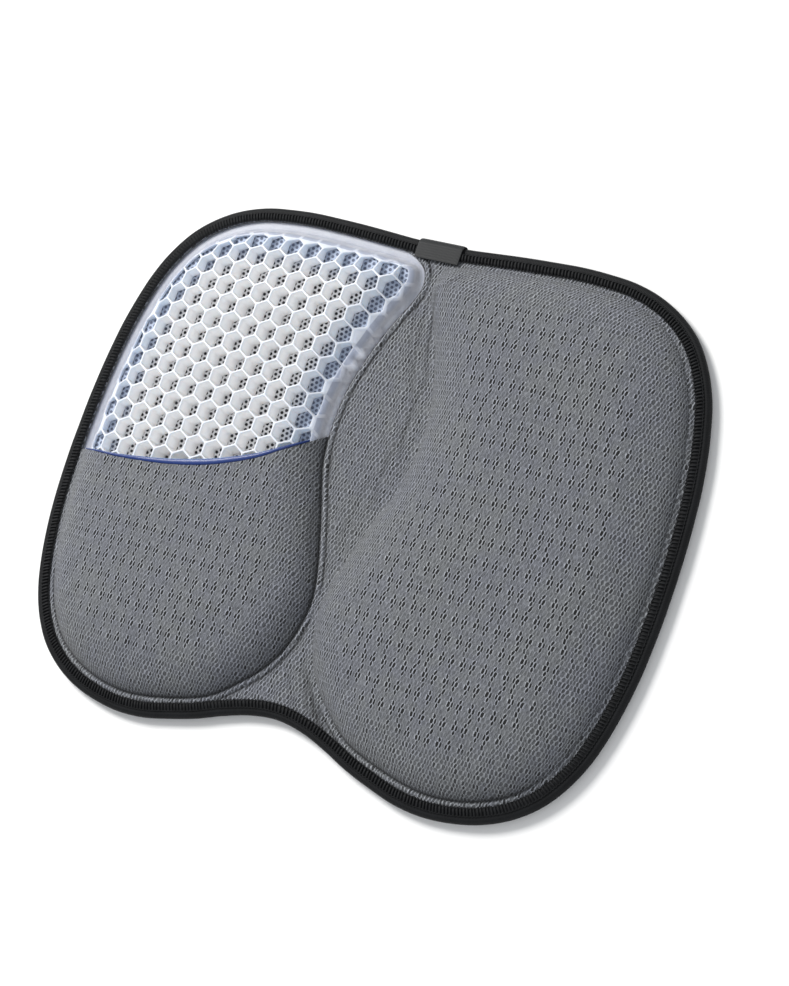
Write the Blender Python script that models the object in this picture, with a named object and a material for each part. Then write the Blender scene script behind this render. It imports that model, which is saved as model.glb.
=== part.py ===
"""Contoured gel seat cushion, with the cover cut away over the rear left corner.

The cushion is a stack of soft layers inside one bound edge.  From the floor up: an anti-slip
base cover, a thin base foam, and in each of the two lobes a foam core, a perforated liner and
a honeycomb gel pad.  A moulded mesh cover closes the top, and a folded tape binds every layer
at the rim.  A coloured trim finishes the edge of the cutaway, and a folded tab sits on the
tape at the rear.

Axes: +X to the sitter's right, +Y to the rear, +Z up.  The origin is on the floor under the
middle of the cushion.  Units are metres.
"""
import math

import bmesh
import bpy
import numpy as np
from mathutils import Vector
from mathutils.geometry import delaunay_2d_cdt

# ---- overall sizes ---------------------------------------------------------------------
WIDTH = 0.450
DEPTH = 0.366
THICKNESS = 0.030

# ---- bound rim -------------------------------------------------------------------------
RIM_LIFT = 0.0016          # height of the tape's underside above the floor
RIM_THICKNESS = 0.0072
TAPE_WIDTH = 0.0095
TAPE_THICKNESS = 0.0012
RIM_BASE_COVER = 0.0009    # the base cover, gathered inside the tape
RIM_TUCK = 0.0039          # from the tape's nose to the layers' edges
RIM_SLOPE = 0.0032         # width over which the layers swell to full thickness
STITCH_WIDTH = 0.0042
STITCH_THICKNESS = 0.0004
STITCH_EDGE = 0.0006       # bare tape left between the stitches and the tape's inner edge

# ---- layers ----------------------------------------------------------------------------
COVER_THICKNESS = 0.0014
BASE_COVER_THICKNESS = 0.0008
BASE_FOAM_THICKNESS = 0.0041
CORE_THICKNESS = 0.0058
LINER_THICKNESS = 0.0006
GEL_FLANGE = 0.0006        # thin skirt of gel around the honeycomb

# ---- lobes -----------------------------------------------------------------------------
LOBE_MARGIN = 0.0045       # flat strip between the tape and the lobe's foot
FLANK_WIDTH = 0.030        # width over which a lobe rises
FLANK_POWER = 0.8          # 1 gives a parabola from foot to shoulder, 0.5 a quarter ellipse
CROWN = 0.0022             # further rise from the top of the flank to the middle
CROWN_REACH = 0.064        # distance from the foot at which the crown is complete
CORE_SIDE_GAP = 0.0015     # between the gel's skirt and the core's side
CELLS_ACROSS = 30.8        # steps of the honeycomb in the full width
CELL_PITCH = WIDTH / CELLS_ACROSS
CELL_WALL = 0.0014
CELL_MARGIN = 0.0095       # from the lobe's foot to the first cell

# ---- trim and tab ----------------------------------------------------------------------
TRIM_WIDTH = 0.0034
TRIM_END_DEPTH = 0.0070    # the trim stops this far inside the lobe's foot
TAB_WIDTH = 0.033
TAB_REACH = 0.015
TAB_THICKNESS = 0.0011
TAB_FLOOR_GAP = 0.0002

GAP = 0.0003               # between pieces that touch
SOFT_GAP = 0.0019          # between the gel and the curved cover above it
OUTLINE_POINTS = 72
LOBE_RIM_POINTS = 20       # control points of a lobe's edge where it follows the rim
TOP_GRID = 0.020           # spacing of the points on top of a lobe
TRIM_POINTS = 60           # points along the whole cut line, before its ends are dropped
KEPT_SHARE = 0.93          # an inset point nearer to its loop than this share has folded over
# Where the cover's flank is bent between its foot and its shoulder, as shares of the flank.
FLANK_BENDS = (0.004, 0.08, 0.24, 0.50, 0.95)

# Right half of the outline, rear to front, as shares of half the width and half the depth.
OUTLINE_SHAPE = (
    (0.00, 0.977), (0.29, 0.995), (0.50, 0.998), (0.68, 0.962), (0.83, 0.850), (0.925, 0.670),
    (0.975, 0.440), (0.995, 0.215), (1.00, 0.00), (0.995, -0.22), (0.975, -0.44),
    (0.925, -0.670), (0.83, -0.850), (0.68, -0.962), (0.48, -0.998), (0.28, -0.943),
    (0.125, -0.872), (0.00, -0.845),
)
# Inner edge of the right lobe's foot, front to rear, in the same shares.
CHANNEL_SHAPE = (
    (0.156, -0.765), (0.095, -0.690), (0.048, -0.595), (0.024, -0.490), (0.018, -0.400),
    (0.040, -0.270), (0.090, -0.080), (0.135, 0.080), (0.149, 0.240), (0.137, 0.400),
    (0.090, 0.590), (0.040, 0.725), (0.020, 0.795), (0.026, 0.852), (0.052, 0.890),
)
LOBE_REAR_START = 0.115    # share of half the width at which a lobe's rear edge meets its corner
LOBE_FRONT_START = 0.225   # and its front edge
# The edge of the cutaway over the left lobe, left to right, in the same shares.
CUT_SHAPE = (
    (-0.980, -0.100), (-0.870, -0.116), (-0.730, -0.114), (-0.570, -0.092), (-0.412, -0.044),
    (-0.275, 0.035), (-0.175, 0.135), (-0.110, 0.260), (-0.060, 0.410),
)

# ---- heights that follow from the layers -----------------------------------------------
BASE_FOAM_LOW = BASE_COVER_THICKNESS + GAP
BASE_FOAM_TOP = BASE_FOAM_LOW + BASE_FOAM_THICKNESS
FLANGE_LOW = BASE_FOAM_TOP + GAP
FLANGE_TOP = FLANGE_LOW + GEL_FLANGE
COVER_LOW = FLANGE_TOP + GAP
COVER_TOP = COVER_LOW + COVER_THICKNESS
CORE_LOW = BASE_FOAM_TOP + GAP
CORE_TOP = CORE_LOW + CORE_THICKNESS
LINER_LOW = CORE_TOP + GAP
LINER_TOP = LINER_LOW + LINER_THICKNESS
GEL_LOW = LINER_TOP + GAP
FLANK_HEIGHT = THICKNESS - CROWN - COVER_TOP
# The gel needs this much of the lobe's rise to stand on its liner, and has it this far inside.
GEL_NEEDS = GEL_LOW + GEL_FLANGE + SOFT_GAP - COVER_LOW
GEL_SHARE = (GEL_NEEDS / FLANK_HEIGHT) ** (1 / FLANK_POWER)
GEL_RISE = COVER_THICKNESS + FLANK_WIDTH * (1 - math.sqrt(1 - GEL_SHARE))
RIM_TOP = RIM_LIFT + RIM_THICKNESS
RIM_MIDDLE = RIM_LIFT + RIM_THICKNESS / 2
RIM_BASE_LOW = RIM_LIFT + TAPE_THICKNESS + GAP
RIM_BASE_TOP = RIM_BASE_LOW + RIM_BASE_COVER
RIM_COVER_TOP = RIM_TOP - TAPE_THICKNESS - GAP
LOBE_INSET = TAPE_WIDTH + LOBE_MARGIN
SLOPE_START = TAPE_WIDTH + GAP
SLOPE_END = SLOPE_START + RIM_SLOPE
CORE_INSET = GEL_RISE + CORE_SIDE_GAP
SKIRT_START = COVER_THICKNESS
SKIRT_END = 0.8 * GEL_RISE


# ---- curves in plan --------------------------------------------------------------------
def smooth_curve(points, per_span, closed):
    """Points along a Catmull-Rom curve: each span blends its two ends and their neighbours."""
    points = np.asarray(points, dtype=float)
    if closed:
        padded = np.vstack([points[-1:], points, points[:2]])
    else:
        padded = np.vstack([2 * points[0] - points[1], points, 2 * points[-1] - points[-2]])
    t = np.linspace(0, 1, per_span, endpoint=False)[:, None]
    spans = []
    for a, b, c, d in zip(padded, padded[1:], padded[2:], padded[3:]):
        spans.append(0.5 * (2 * b + (c - a) * t + (2 * a - 5 * b + 4 * c - d) * t ** 2
                            + (3 * b - a - 3 * c + d) * t ** 3))
    if not closed:
        spans.append(points[-1:])
    return np.vstack(spans)


def evenly(points, count, closed):
    """The same path with count points at equal distances along it."""
    if closed:
        points = np.vstack([points, points[:1]])
    steps = np.hypot(*np.diff(points, axis=0).T)
    along = np.concatenate([[0], np.cumsum(steps)])
    wanted = np.linspace(0, along[-1], count, endpoint=not closed)
    return np.column_stack([np.interp(wanted, along, points[:, k]) for k in (0, 1)])


def inset(loop, distance):
    """A clockwise loop moved inwards: each point goes right of the path by the distance."""
    tangent = np.roll(loop, -1, axis=0) - np.roll(loop, 1, axis=0)
    tangent /= np.linalg.norm(tangent, axis=1)[:, None]
    return loop + distance * np.column_stack([tangent[:, 1], -tangent[:, 0]])


def is_inside(points, loop):
    """True for each point with an odd number of crossings of the loop on one side of it."""
    start = loop[None, :, :]
    end = np.roll(loop, -1, axis=0)[None, :, :]
    x = points[:, 0, None]
    y = points[:, 1, None]
    spans = (start[..., 1] > y) != (end[..., 1] > y)
    rise = np.where(spans, end[..., 1] - start[..., 1], 1.0)
    cross = start[..., 0] + (y - start[..., 1]) * (end[..., 0] - start[..., 0]) / rise
    return np.count_nonzero(spans & (x < cross), axis=1) % 2 == 1


def depth_inside(points, loop):
    """Distance from each point to the loop's nearest side, or 0 outside the loop."""
    start = loop[None, :, :]
    side = np.roll(loop, -1, axis=0)[None, :, :] - start
    to_point = points[:, None, :] - start
    share = np.clip((to_point * side).sum(2) / (side ** 2).sum(2), 0, 1)
    distance = np.linalg.norm(to_point - share[..., None] * side, axis=2).min(axis=1)
    return np.where(is_inside(points, loop), distance, 0.0)


def ring_inside(loop, distance):
    """The loop moved inwards, without the points that a tight corner would fold over."""
    ring = inset(loop, distance)
    return ring[depth_inside(ring, loop) > KEPT_SHARE * distance]


def mirrored(loop):
    """The loop on the other side of the centre line, still clockwise."""
    return (loop * (-1, 1))[::-1]


def scaled(shape):
    return np.array(shape) * (WIDTH / 2, DEPTH / 2)


def full_outline():
    right = scaled(OUTLINE_SHAPE)
    left = (right[1:-1] * (-1, 1))[::-1]
    return evenly(smooth_curve(np.vstack([right, left]), 12, True), OUTLINE_POINTS, True)


OUTLINE = full_outline()
LAYER_EDGE = inset(OUTLINE, RIM_TUCK)


def lobe_loop(outer_inset):
    """Foot of the right lobe: the outline moved inwards, closed by the channel's edge."""
    channel = scaled(CHANNEL_SHAPE)
    fine = smooth_curve(OUTLINE, 6, True)
    rim = inset(fine, outer_inset)
    start = np.where(rim[:, 1] > 0, LOBE_REAR_START, LOBE_FRONT_START) * WIDTH / 2
    rim = rim[rim[:, 0] > start]
    rim = rim[np.argsort(-np.arctan2(rim[:, 1], rim[:, 0]))]
    rim = evenly(rim, LOBE_RIM_POINTS, False)
    return smooth_curve(np.vstack([rim, channel]), 2, True)


FOOT = {"right": lobe_loop(LOBE_INSET)}
FOOT["left"] = mirrored(FOOT["right"])
GEL_EDGE = {"right": lobe_loop(SLOPE_START + GAP)}
GEL_EDGE["left"] = mirrored(GEL_EDGE["right"])
CUT_LINE = smooth_curve(scaled(CUT_SHAPE), 6, False)


# ---- heights over the plan -------------------------------------------------------------
def dome(depth):
    """A lobe's rise: up the flank, steepest at its foot, then a slight crown to the middle."""
    climb = np.clip(depth / FLANK_WIDTH, 0, 1)
    flank = FLANK_HEIGHT * (1 - (1 - climb) ** 2) ** FLANK_POWER
    share = np.clip((depth - FLANK_WIDTH) / (CROWN_REACH - FLANK_WIDTH), 0, 1)
    return flank + CROWN * share ** 2 * (3 - 2 * share)


def lobe_depth(points):
    return np.maximum(depth_inside(points, FOOT["left"]), depth_inside(points, FOOT["right"]))


def from_rim(points, at_rim, at_middle):
    """A level that changes from its value inside the tape to its value in the middle."""
    depth = depth_inside(points, OUTLINE)
    return np.interp(depth, (SLOPE_START, SLOPE_END), (at_rim, at_middle))


def cover_low(points):
    return COVER_LOW + dome(np.maximum(lobe_depth(points) - COVER_THICKNESS, 0))


def cover_top(points):
    return from_rim(points, RIM_COVER_TOP, COVER_TOP) + dome(lobe_depth(points))


def flat(height):
    return lambda points: np.full(len(points), height)


# ---- solids ----------------------------------------------------------------------------
def clear_scene():
    for item in list(bpy.data.objects):
        bpy.data.objects.remove(item, do_unlink=True)


def material(name, colour, roughness):
    made = bpy.data.materials.new(name)
    made.use_nodes = True
    shader = made.node_tree.nodes["Principled BSDF"]
    shader.inputs["Base Color"].default_value = (*colour, 1.0)
    shader.inputs["Roughness"].default_value = roughness
    shader.inputs["Metallic"].default_value = 0.0
    return made


def add_object(name, vertices, faces, finish):
    mesh = bpy.data.meshes.new(name)
    mesh.from_pydata([tuple(v) for v in vertices], [], [tuple(int(i) for i in f) for f in faces])
    mesh.validate()
    mesh.materials.append(finish)
    made = bpy.data.objects.new(name, mesh)
    bpy.context.scene.collection.objects.link(made)
    return made


def triangulated(paths, loose):
    """Points and counter-clockwise triangles of the plan, with every path kept as edges.

    paths holds pairs of an array of points and whether the path closes, and loose holds
    further points that no edge has to reach.
    """
    points = [Vector(p) for path, closed in paths for p in path] + [Vector(p) for p in loose]
    edges = []
    first = 0
    for path, closed in paths:
        count = len(path)
        edges += [(first + i, first + i + 1) for i in range(count - 1)]
        if closed:
            edges.append((first + count - 1, first))
        first += count
    merge = 1e-7
    plan, _, faces, _, _, _ = delaunay_2d_cdt(points, edges, [], 0, merge)
    return np.array([tuple(p) for p in plan]), np.array([tuple(f) for f in faces])


def sheet(name, paths, wanted, low, high, finish, loose=()):
    """A closed solid over part of the plan, between two surfaces.

    The plan is cut into triangles along the paths, and wanted(points) picks the triangles by
    their middles.  low and high give the heights of the under side and the upper side.
    """
    plan, faces = triangulated(paths, loose)
    faces = faces[wanted(plan[faces].mean(axis=1))]
    used, faces = np.unique(faces, return_inverse=True)
    plan = plan[used]
    faces = faces.reshape(-1, 3)
    count = len(plan)
    vertices = np.vstack([np.column_stack([plan, low(plan)]), np.column_stack([plan, high(plan)])])
    sides = np.vstack([faces[:, [0, 1]], faces[:, [1, 2]], faces[:, [2, 0]]])
    keys = {tuple(side) for side in sides.tolist()}
    border = [(a, b) for a, b in sorted(keys) if (b, a) not in keys]
    solid_faces = [tuple(f) for f in faces[:, ::-1]]
    solid_faces += [tuple(f + count) for f in faces]
    solid_faces += [(a, b, b + count, a + count) for a, b in border]
    return add_object(name, vertices, solid_faces, finish)


def within(loop):
    return lambda middles: is_inside(middles, loop)


def rim_paths():
    """The layers' edge and the two lines between which they swell from the rim."""
    depths = (RIM_TUCK, SLOPE_START, SLOPE_END)
    return [(inset(OUTLINE, depth), True) for depth in depths]


def build_base_cover(finish):
    def low(points):
        return from_rim(points, RIM_BASE_LOW, 0.0)

    def high(points):
        return from_rim(points, RIM_BASE_TOP, BASE_COVER_THICKNESS)

    return sheet("base_cover", rim_paths(), within(LAYER_EDGE), low, high, finish)


def build_base_foam(finish):
    def low(points):
        return from_rim(points, RIM_BASE_TOP + GAP, BASE_FOAM_LOW)

    return sheet("base_foam", rim_paths(), within(LAYER_EDGE), low, flat(BASE_FOAM_TOP), finish)


def build_core(side, finish):
    edge = ring_inside(FOOT[side], CORE_INSET)
    return sheet("foam_core_" + side, [(edge, True)], within(edge),
                 flat(CORE_LOW), flat(CORE_TOP), finish)


def build_liner(side, finish):
    edge = ring_inside(FOOT[side], CORE_INSET)
    return sheet("liner_mesh_" + side, [(edge, True)], within(edge),
                 flat(LINER_LOW), flat(LINER_TOP), finish)


def cell_centres(side):
    """Centres of the honeycomb's cells, in rows along X, each row half a cell on from the last."""
    row_step = CELL_PITCH * math.sqrt(3) / 2
    rows = int(DEPTH / row_step)
    columns = int(WIDTH / CELL_PITCH)
    row, column = np.meshgrid(np.arange(-rows, rows), np.arange(-columns, columns))
    x = (column + 0.5 * (row % 2)) * CELL_PITCH
    centres = np.column_stack([x.ravel(), (row * row_step).ravel()])
    return centres if side == "right" else centres * (-1, 1)


def cell_loops(side):
    """One hexagon for each cell that keeps its full margin inside the lobe."""
    radius = (CELL_PITCH - CELL_WALL) / math.sqrt(3)
    turn = math.pi / 2 - np.arange(6) * math.pi / 3
    corner = radius * np.column_stack([np.cos(turn), np.sin(turn)])
    loops = [centre + corner for centre in cell_centres(side)]
    return [loop for loop in loops if depth_inside(loop, FOOT[side]).min() > CELL_MARGIN]


def build_gel(side, finish):
    """Honeycomb pad: a thin skirt on the base foam, then cells standing on the liner."""
    foot = FOOT[side]
    edge = GEL_EDGE[side]
    cells = cell_loops(side)
    rings = [ring_inside(foot, depth) for depth in (SKIRT_START, GEL_RISE, CELL_MARGIN - GAP)]

    def low(points):
        depth = depth_inside(points, foot)
        return np.interp(depth, (SKIRT_START, SKIRT_END), (FLANGE_LOW, GEL_LOW))

    def high(points):
        depth = depth_inside(points, foot)
        gel_top = COVER_LOW - SOFT_GAP + dome(np.maximum(depth - COVER_THICKNESS, 0))
        return np.where(depth < SKIRT_END, FLANGE_TOP, np.maximum(gel_top, GEL_LOW + GEL_FLANGE))

    def wanted(middles):
        keep = is_inside(middles, edge)
        for cell in cells:
            near = np.hypot(*(middles - cell.mean(axis=0)).T) < CELL_PITCH
            keep[near] &= ~is_inside(middles[near], cell)
        return keep

    paths = [(loop, True) for loop in [edge] + rings + cells]
    return sheet("gel_pad_" + side, paths, wanted, low, high, finish)


def behind_cut(points):
    """True on the side of the cut line where the cover is missing."""
    line = CUT_LINE[np.argsort(CUT_LINE[:, 0])]
    return points[:, 1] > np.interp(points[:, 0], line[:, 0], line[:, 1])


def lobe_top_points():
    """A square grid of points over the top of both lobes, where the crown is."""
    x, y = np.meshgrid(np.arange(-WIDTH / 2, WIDTH / 2, TOP_GRID),
                       np.arange(-DEPTH / 2, DEPTH / 2, TOP_GRID))
    grid = np.column_stack([x.ravel(), y.ravel()])
    return grid[lobe_depth(grid) > FLANK_WIDTH + TOP_GRID / 3]


def build_top_cover(finish):
    """The moulded mesh shell, with its rear left corner cut away down to the gel."""
    opening = mirrored(lobe_loop(SLOPE_START))
    depths = [COVER_THICKNESS + share * FLANK_WIDTH for share in FLANK_BENDS]
    rings = [ring_inside(FOOT[side], depth) for side in FOOT for depth in depths]

    def wanted(middles):
        cut_away = is_inside(middles, opening) & behind_cut(middles)
        return is_inside(middles, LAYER_EDGE) & ~cut_away

    paths = rim_paths() + [(ring, True) for ring in list(FOOT.values()) + rings]
    paths += [(opening, True), (CUT_LINE, False)]
    return sheet("top_cover", paths, wanted, cover_low, cover_top, finish, lobe_top_points())


def build_trim(finish):
    """Narrow coloured band just outside the cut edge, widest in the middle of the cut."""
    line = evenly(CUT_LINE, TRIM_POINTS, False)
    line = line[depth_inside(line, FOOT["left"]) > TRIM_END_DEPTH]
    along = np.linspace(0, 1, len(line))
    tangent = np.gradient(line, axis=0)
    tangent /= np.linalg.norm(tangent, axis=1)[:, None]
    normal = np.column_stack([-tangent[:, 1], tangent[:, 0]])
    width = TRIM_WIDTH * (0.35 + 0.65 * np.sin(math.pi * along))
    near = line + GAP * normal
    far = line + (GAP + width[:, None]) * normal
    band = np.vstack([near, far[::-1]])
    return sheet("cut_edge_trim", [(band, True)], within(band), cover_low, cover_top, finish)


def swept(name, profile, finish):
    """A closed profile of (inset, height) points carried round the outline."""
    rings = [np.column_stack([inset(OUTLINE, depth), np.full(OUTLINE_POINTS, height)])
             for depth, height in profile]
    count = len(profile)
    vertices = np.stack(rings, axis=1).reshape(-1, 3)
    faces = []
    for i in range(OUTLINE_POINTS):
        ahead = (i + 1) % OUTLINE_POINTS
        for k in range(count):
            up = (k + 1) % count
            faces.append((i * count + k, i * count + up, ahead * count + up, ahead * count + k))
    made = add_object(name, vertices, faces, finish)
    shell = bmesh.new()
    shell.from_mesh(made.data)
    bmesh.ops.recalc_face_normals(shell, faces=shell.faces)
    shell.to_mesh(made.data)
    shell.free()
    return made


def nose(radius, reach, steps):
    """Half circle of (inset, height) points round the rim's nose, from its top to its base."""
    turns = np.linspace(math.pi / 2, -math.pi / 2, steps)
    return [(reach - radius * math.cos(t), RIM_MIDDLE + radius * math.sin(t)) for t in turns]


def build_binding(finish):
    """Folded tape: an outer skin round the rim and, one tape's thickness in, the inner one."""
    radius = RIM_THICKNESS / 2
    outer = nose(radius, radius, 6)
    inner = nose(radius - TAPE_THICKNESS, radius, 4)[::-1]
    profile = ([(TAPE_WIDTH, RIM_TOP)] + outer + [(TAPE_WIDTH, RIM_LIFT)]
               + [(TAPE_WIDTH, RIM_LIFT + TAPE_THICKNESS)] + inner
               + [(TAPE_WIDTH, RIM_TOP - TAPE_THICKNESS)])
    return swept("edge_binding", profile, finish)


def build_stitching(finish):
    """The row of overlock thread that lies on the tape's upper leg."""
    low = RIM_TOP + GAP
    high = low + STITCH_THICKNESS
    far = TAPE_WIDTH - STITCH_EDGE
    near = far - STITCH_WIDTH
    return swept("binding_stitching", [(near, low), (near, high), (far, high), (far, low)], finish)


def build_tab(finish):
    """Folded tab: a strip that hugs the tape's nose at the middle of the rear edge."""
    nearby = OUTLINE[(OUTLINE[:, 1] > 0) & (np.abs(OUTLINE[:, 0]) < TAB_WIDTH)]
    edge = nearby[:, 1].max() + GAP
    low = TAB_FLOOR_GAP
    high = RIM_TOP + STITCH_THICKNESS + 2 * GAP + TAB_THICKNESS
    middle = (low + high) / 2
    radius = (high - low) / 2
    reach = edge + TAB_THICKNESS - TAB_REACH
    turns = np.linspace(math.pi / 2, -math.pi / 2, 9)
    squash = (TAB_THICKNESS + RIM_THICKNESS / 2) / radius
    centre = edge + TAB_THICKNESS - radius * squash
    outer = [(centre + radius * squash * math.cos(t), middle + radius * math.sin(t)) for t in turns]
    bore = radius - TAB_THICKNESS
    inner_squash = (edge - centre) / bore
    inner = [(centre + bore * inner_squash * math.cos(t), middle + bore * math.sin(t))
             for t in turns[::-1]]
    under_reach = edge - TAPE_WIDTH
    profile = [(reach, high)] + outer + [(under_reach, low)]
    profile += [(under_reach, low + TAB_THICKNESS)] + inner + [(reach, high - TAB_THICKNESS)]
    count = len(profile)
    vertices = [(x, y, z) for x in (-TAB_WIDTH / 2, TAB_WIDTH / 2) for y, z in profile]
    faces = [(k, (k + 1) % count, (k + 1) % count + count, k + count) for k in range(count)]
    half = count // 2
    faces += [(k, count - 1 - k, count - 2 - k, k + 1) for k in range(half - 1)]
    faces += [(count + k, count + k + 1, 2 * count - 2 - k, 2 * count - 1 - k)
              for k in range(half - 1)]
    made = add_object("rear_tab", vertices, faces, finish)
    shell = bmesh.new()
    shell.from_mesh(made.data)
    bmesh.ops.recalc_face_normals(shell, faces=shell.faces)
    shell.to_mesh(made.data)
    shell.free()
    return made


def build_cushion():
    foam = material("foam", (0.62, 0.62, 0.58), 0.95)
    gel = material("gel", (0.86, 0.89, 0.94), 0.30)
    liner = material("liner_mesh", (0.88, 0.88, 0.90), 0.80)
    build_base_cover(material("base_fabric", (0.035, 0.036, 0.040), 0.90))
    build_base_foam(foam)
    for side in ("left", "right"):
        build_core(side, foam)
        build_liner(side, liner)
        build_gel(side, gel)
    build_top_cover(material("cover_mesh", (0.19, 0.20, 0.22), 0.85))
    build_trim(material("cut_edge", (0.02, 0.09, 0.33), 0.45))
    build_binding(material("binding_tape", (0.012, 0.013, 0.015), 0.75))
    build_stitching(material("binding_thread", (0.010, 0.010, 0.012), 0.60))
    build_tab(material("tab_fabric", (0.045, 0.048, 0.052), 0.70))


clear_scene()
build_cushion()
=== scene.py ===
# %% [markdown]
# # A gel seat cushion, cut away to show its honeycomb
#
# The cushion lies flat on the floor.  Two raised lobes carry the sitter and a sunk channel
# runs between them.  A grey knitted cover is moulded over both lobes, and a black tape binds
# its edge.  Over the rear left lobe the cover is cut away, so the white gel honeycomb shows.
#
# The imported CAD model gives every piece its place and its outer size.  The lesson replaces
# each CAD solid by a finer one: a curve in plan, a height over the plan, and a finish.

import math

import bpy
import numpy as np
from mathutils import Matrix, Vector
from mathutils.geometry import delaunay_2d_cdt


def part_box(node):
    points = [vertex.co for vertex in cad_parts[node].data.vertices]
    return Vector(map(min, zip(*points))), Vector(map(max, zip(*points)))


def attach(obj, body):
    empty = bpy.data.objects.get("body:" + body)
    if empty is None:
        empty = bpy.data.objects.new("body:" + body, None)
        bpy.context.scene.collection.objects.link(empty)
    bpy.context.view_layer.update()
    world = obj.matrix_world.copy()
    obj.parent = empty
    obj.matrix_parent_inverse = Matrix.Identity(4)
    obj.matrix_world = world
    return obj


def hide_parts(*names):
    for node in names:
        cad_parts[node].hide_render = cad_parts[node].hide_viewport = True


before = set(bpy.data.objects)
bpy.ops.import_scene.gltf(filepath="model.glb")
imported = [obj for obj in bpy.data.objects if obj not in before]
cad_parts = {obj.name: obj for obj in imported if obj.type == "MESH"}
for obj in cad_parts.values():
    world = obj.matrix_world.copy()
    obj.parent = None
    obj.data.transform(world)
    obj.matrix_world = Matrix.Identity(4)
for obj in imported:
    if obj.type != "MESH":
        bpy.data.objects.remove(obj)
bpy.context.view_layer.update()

# %% [markdown]
# ## Sizes
#
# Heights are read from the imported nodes, so a change to a layer's thickness moves the finer
# pieces too.  Plan sizes are the ones that the part was drawn with, in metres.

# %% Sizes
WIDTH = 0.450
DEPTH = 0.366

RIM_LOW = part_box("edge_binding")[0].z
RIM_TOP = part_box("edge_binding")[1].z
RIM_MIDDLE = (RIM_LOW + RIM_TOP) / 2
COVER_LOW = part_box("top_cover")[0].z
CUSHION_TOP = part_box("top_cover")[1].z
FOAM_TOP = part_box("base_foam")[1].z
CORE_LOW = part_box("foam_core_left")[0].z
CORE_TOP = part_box("foam_core_left")[1].z
LINER_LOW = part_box("liner_mesh_left")[0].z
LINER_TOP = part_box("liner_mesh_left")[1].z

GAP = 0.0003
TAPE_WIDTH = 0.0095
TAPE_THICKNESS = 0.0012
RIM_TUCK = 0.0039
RIM_SLOPE = 0.0032
COVER_THICKNESS = 0.0014
BASE_COVER_THICKNESS = 0.0008
LOBE_MARGIN = 0.0045
FLANK_WIDTH = 0.030
FLANK_POWER = 0.8
CROWN = 0.0022
CROWN_REACH = 0.064
GEL_CLEARANCE = 0.0019
GEL_SKIN = 0.0006
CELL_PITCH = WIDTH / 30.8
CELL_WALL = 0.0013

COVER_TOP = COVER_LOW + COVER_THICKNESS
FLANK_HEIGHT = CUSHION_TOP - CROWN - COVER_TOP
GEL_LOW = LINER_TOP + GAP
LOBE_INSET = TAPE_WIDTH + LOBE_MARGIN
SLOPE_START = TAPE_WIDTH + GAP
SLOPE_END = SLOPE_START + RIM_SLOPE
GEL_SHARE = ((GEL_LOW + GEL_SKIN + GEL_CLEARANCE - COVER_LOW) / FLANK_HEIGHT) ** (1 / FLANK_POWER)
GEL_RISE = COVER_THICKNESS + FLANK_WIDTH * (1 - math.sqrt(1 - GEL_SHARE))
CORE_INSET = GEL_RISE + 0.0015
GEL_MARGIN = CORE_INSET + 0.0004
print(f"lobes rise {FLANK_HEIGHT * 1000:.1f} mm over the channel")

# %% [markdown]
# ## Curves in plan
#
# Four curves make the plan: the outline, the channel's edge, the cut and the lobe's foot.  A
# Catmull-Rom curve passes through every control point, so the points can be measured on the
# real thing and typed in as shares of half the width and half the depth.

# %% Control points
OUTLINE_SHAPE = (
    (0.00, 0.977), (0.29, 0.995), (0.50, 0.998), (0.68, 0.962), (0.83, 0.850), (0.925, 0.670),
    (0.975, 0.440), (0.995, 0.215), (1.00, 0.00), (0.995, -0.22), (0.975, -0.44),
    (0.925, -0.670), (0.83, -0.850), (0.68, -0.962), (0.48, -0.998), (0.28, -0.943),
    (0.125, -0.872), (0.00, -0.845),
)
CHANNEL_SHAPE = (
    (0.156, -0.765), (0.095, -0.690), (0.048, -0.595), (0.024, -0.490), (0.018, -0.400),
    (0.040, -0.270), (0.090, -0.080), (0.135, 0.080), (0.149, 0.240), (0.137, 0.400),
    (0.090, 0.590), (0.040, 0.725), (0.020, 0.795), (0.026, 0.852), (0.052, 0.890),
)
LOBE_REAR_START = 0.115
LOBE_FRONT_START = 0.225
CUT_SHAPE = (
    (-0.980, -0.100), (-0.870, -0.116), (-0.730, -0.114), (-0.570, -0.092), (-0.412, -0.044),
    (-0.275, 0.035), (-0.175, 0.135), (-0.110, 0.260), (-0.060, 0.410),
)


# %% Helpers for paths
def smooth_curve(points, per_span, closed):
    """Catmull-Rom curve: each span is a cubic blend of its two ends and their neighbours."""
    points = np.asarray(points, dtype=float)
    if closed:
        padded = np.vstack([points[-1:], points, points[:2]])
    else:
        padded = np.vstack([2 * points[0] - points[1], points, 2 * points[-1] - points[-2]])
    t = np.linspace(0, 1, per_span, endpoint=False)[None, :, None]
    a, b, c, d = (padded[k:len(padded) - 3 + k, None, :] for k in range(4))
    curve = 0.5 * (2 * b + (c - a) * t + (2 * a - 5 * b + 4 * c - d) * t ** 2
                   + (3 * b - a - 3 * c + d) * t ** 3)
    curve = curve.reshape(-1, 2)
    return curve if closed else np.vstack([curve, points[-1:]])


def path_length(points):
    """Distance walked along the path up to each point."""
    return np.concatenate([[0], np.cumsum(np.hypot(*np.diff(points, axis=0).T))])


def evenly(points, count, closed):
    """The same path with count points at equal distances along it."""
    if closed:
        points = np.vstack([points, points[:1]])
    along = path_length(points)
    wanted = np.linspace(0, along[-1], count, endpoint=not closed)
    return np.column_stack([np.interp(wanted, along, points[:, k]) for k in (0, 1)])


def loop_length(loop):
    """Distance once round a closed path."""
    return path_length(np.vstack([loop, loop[:1]]))[-1]


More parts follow.
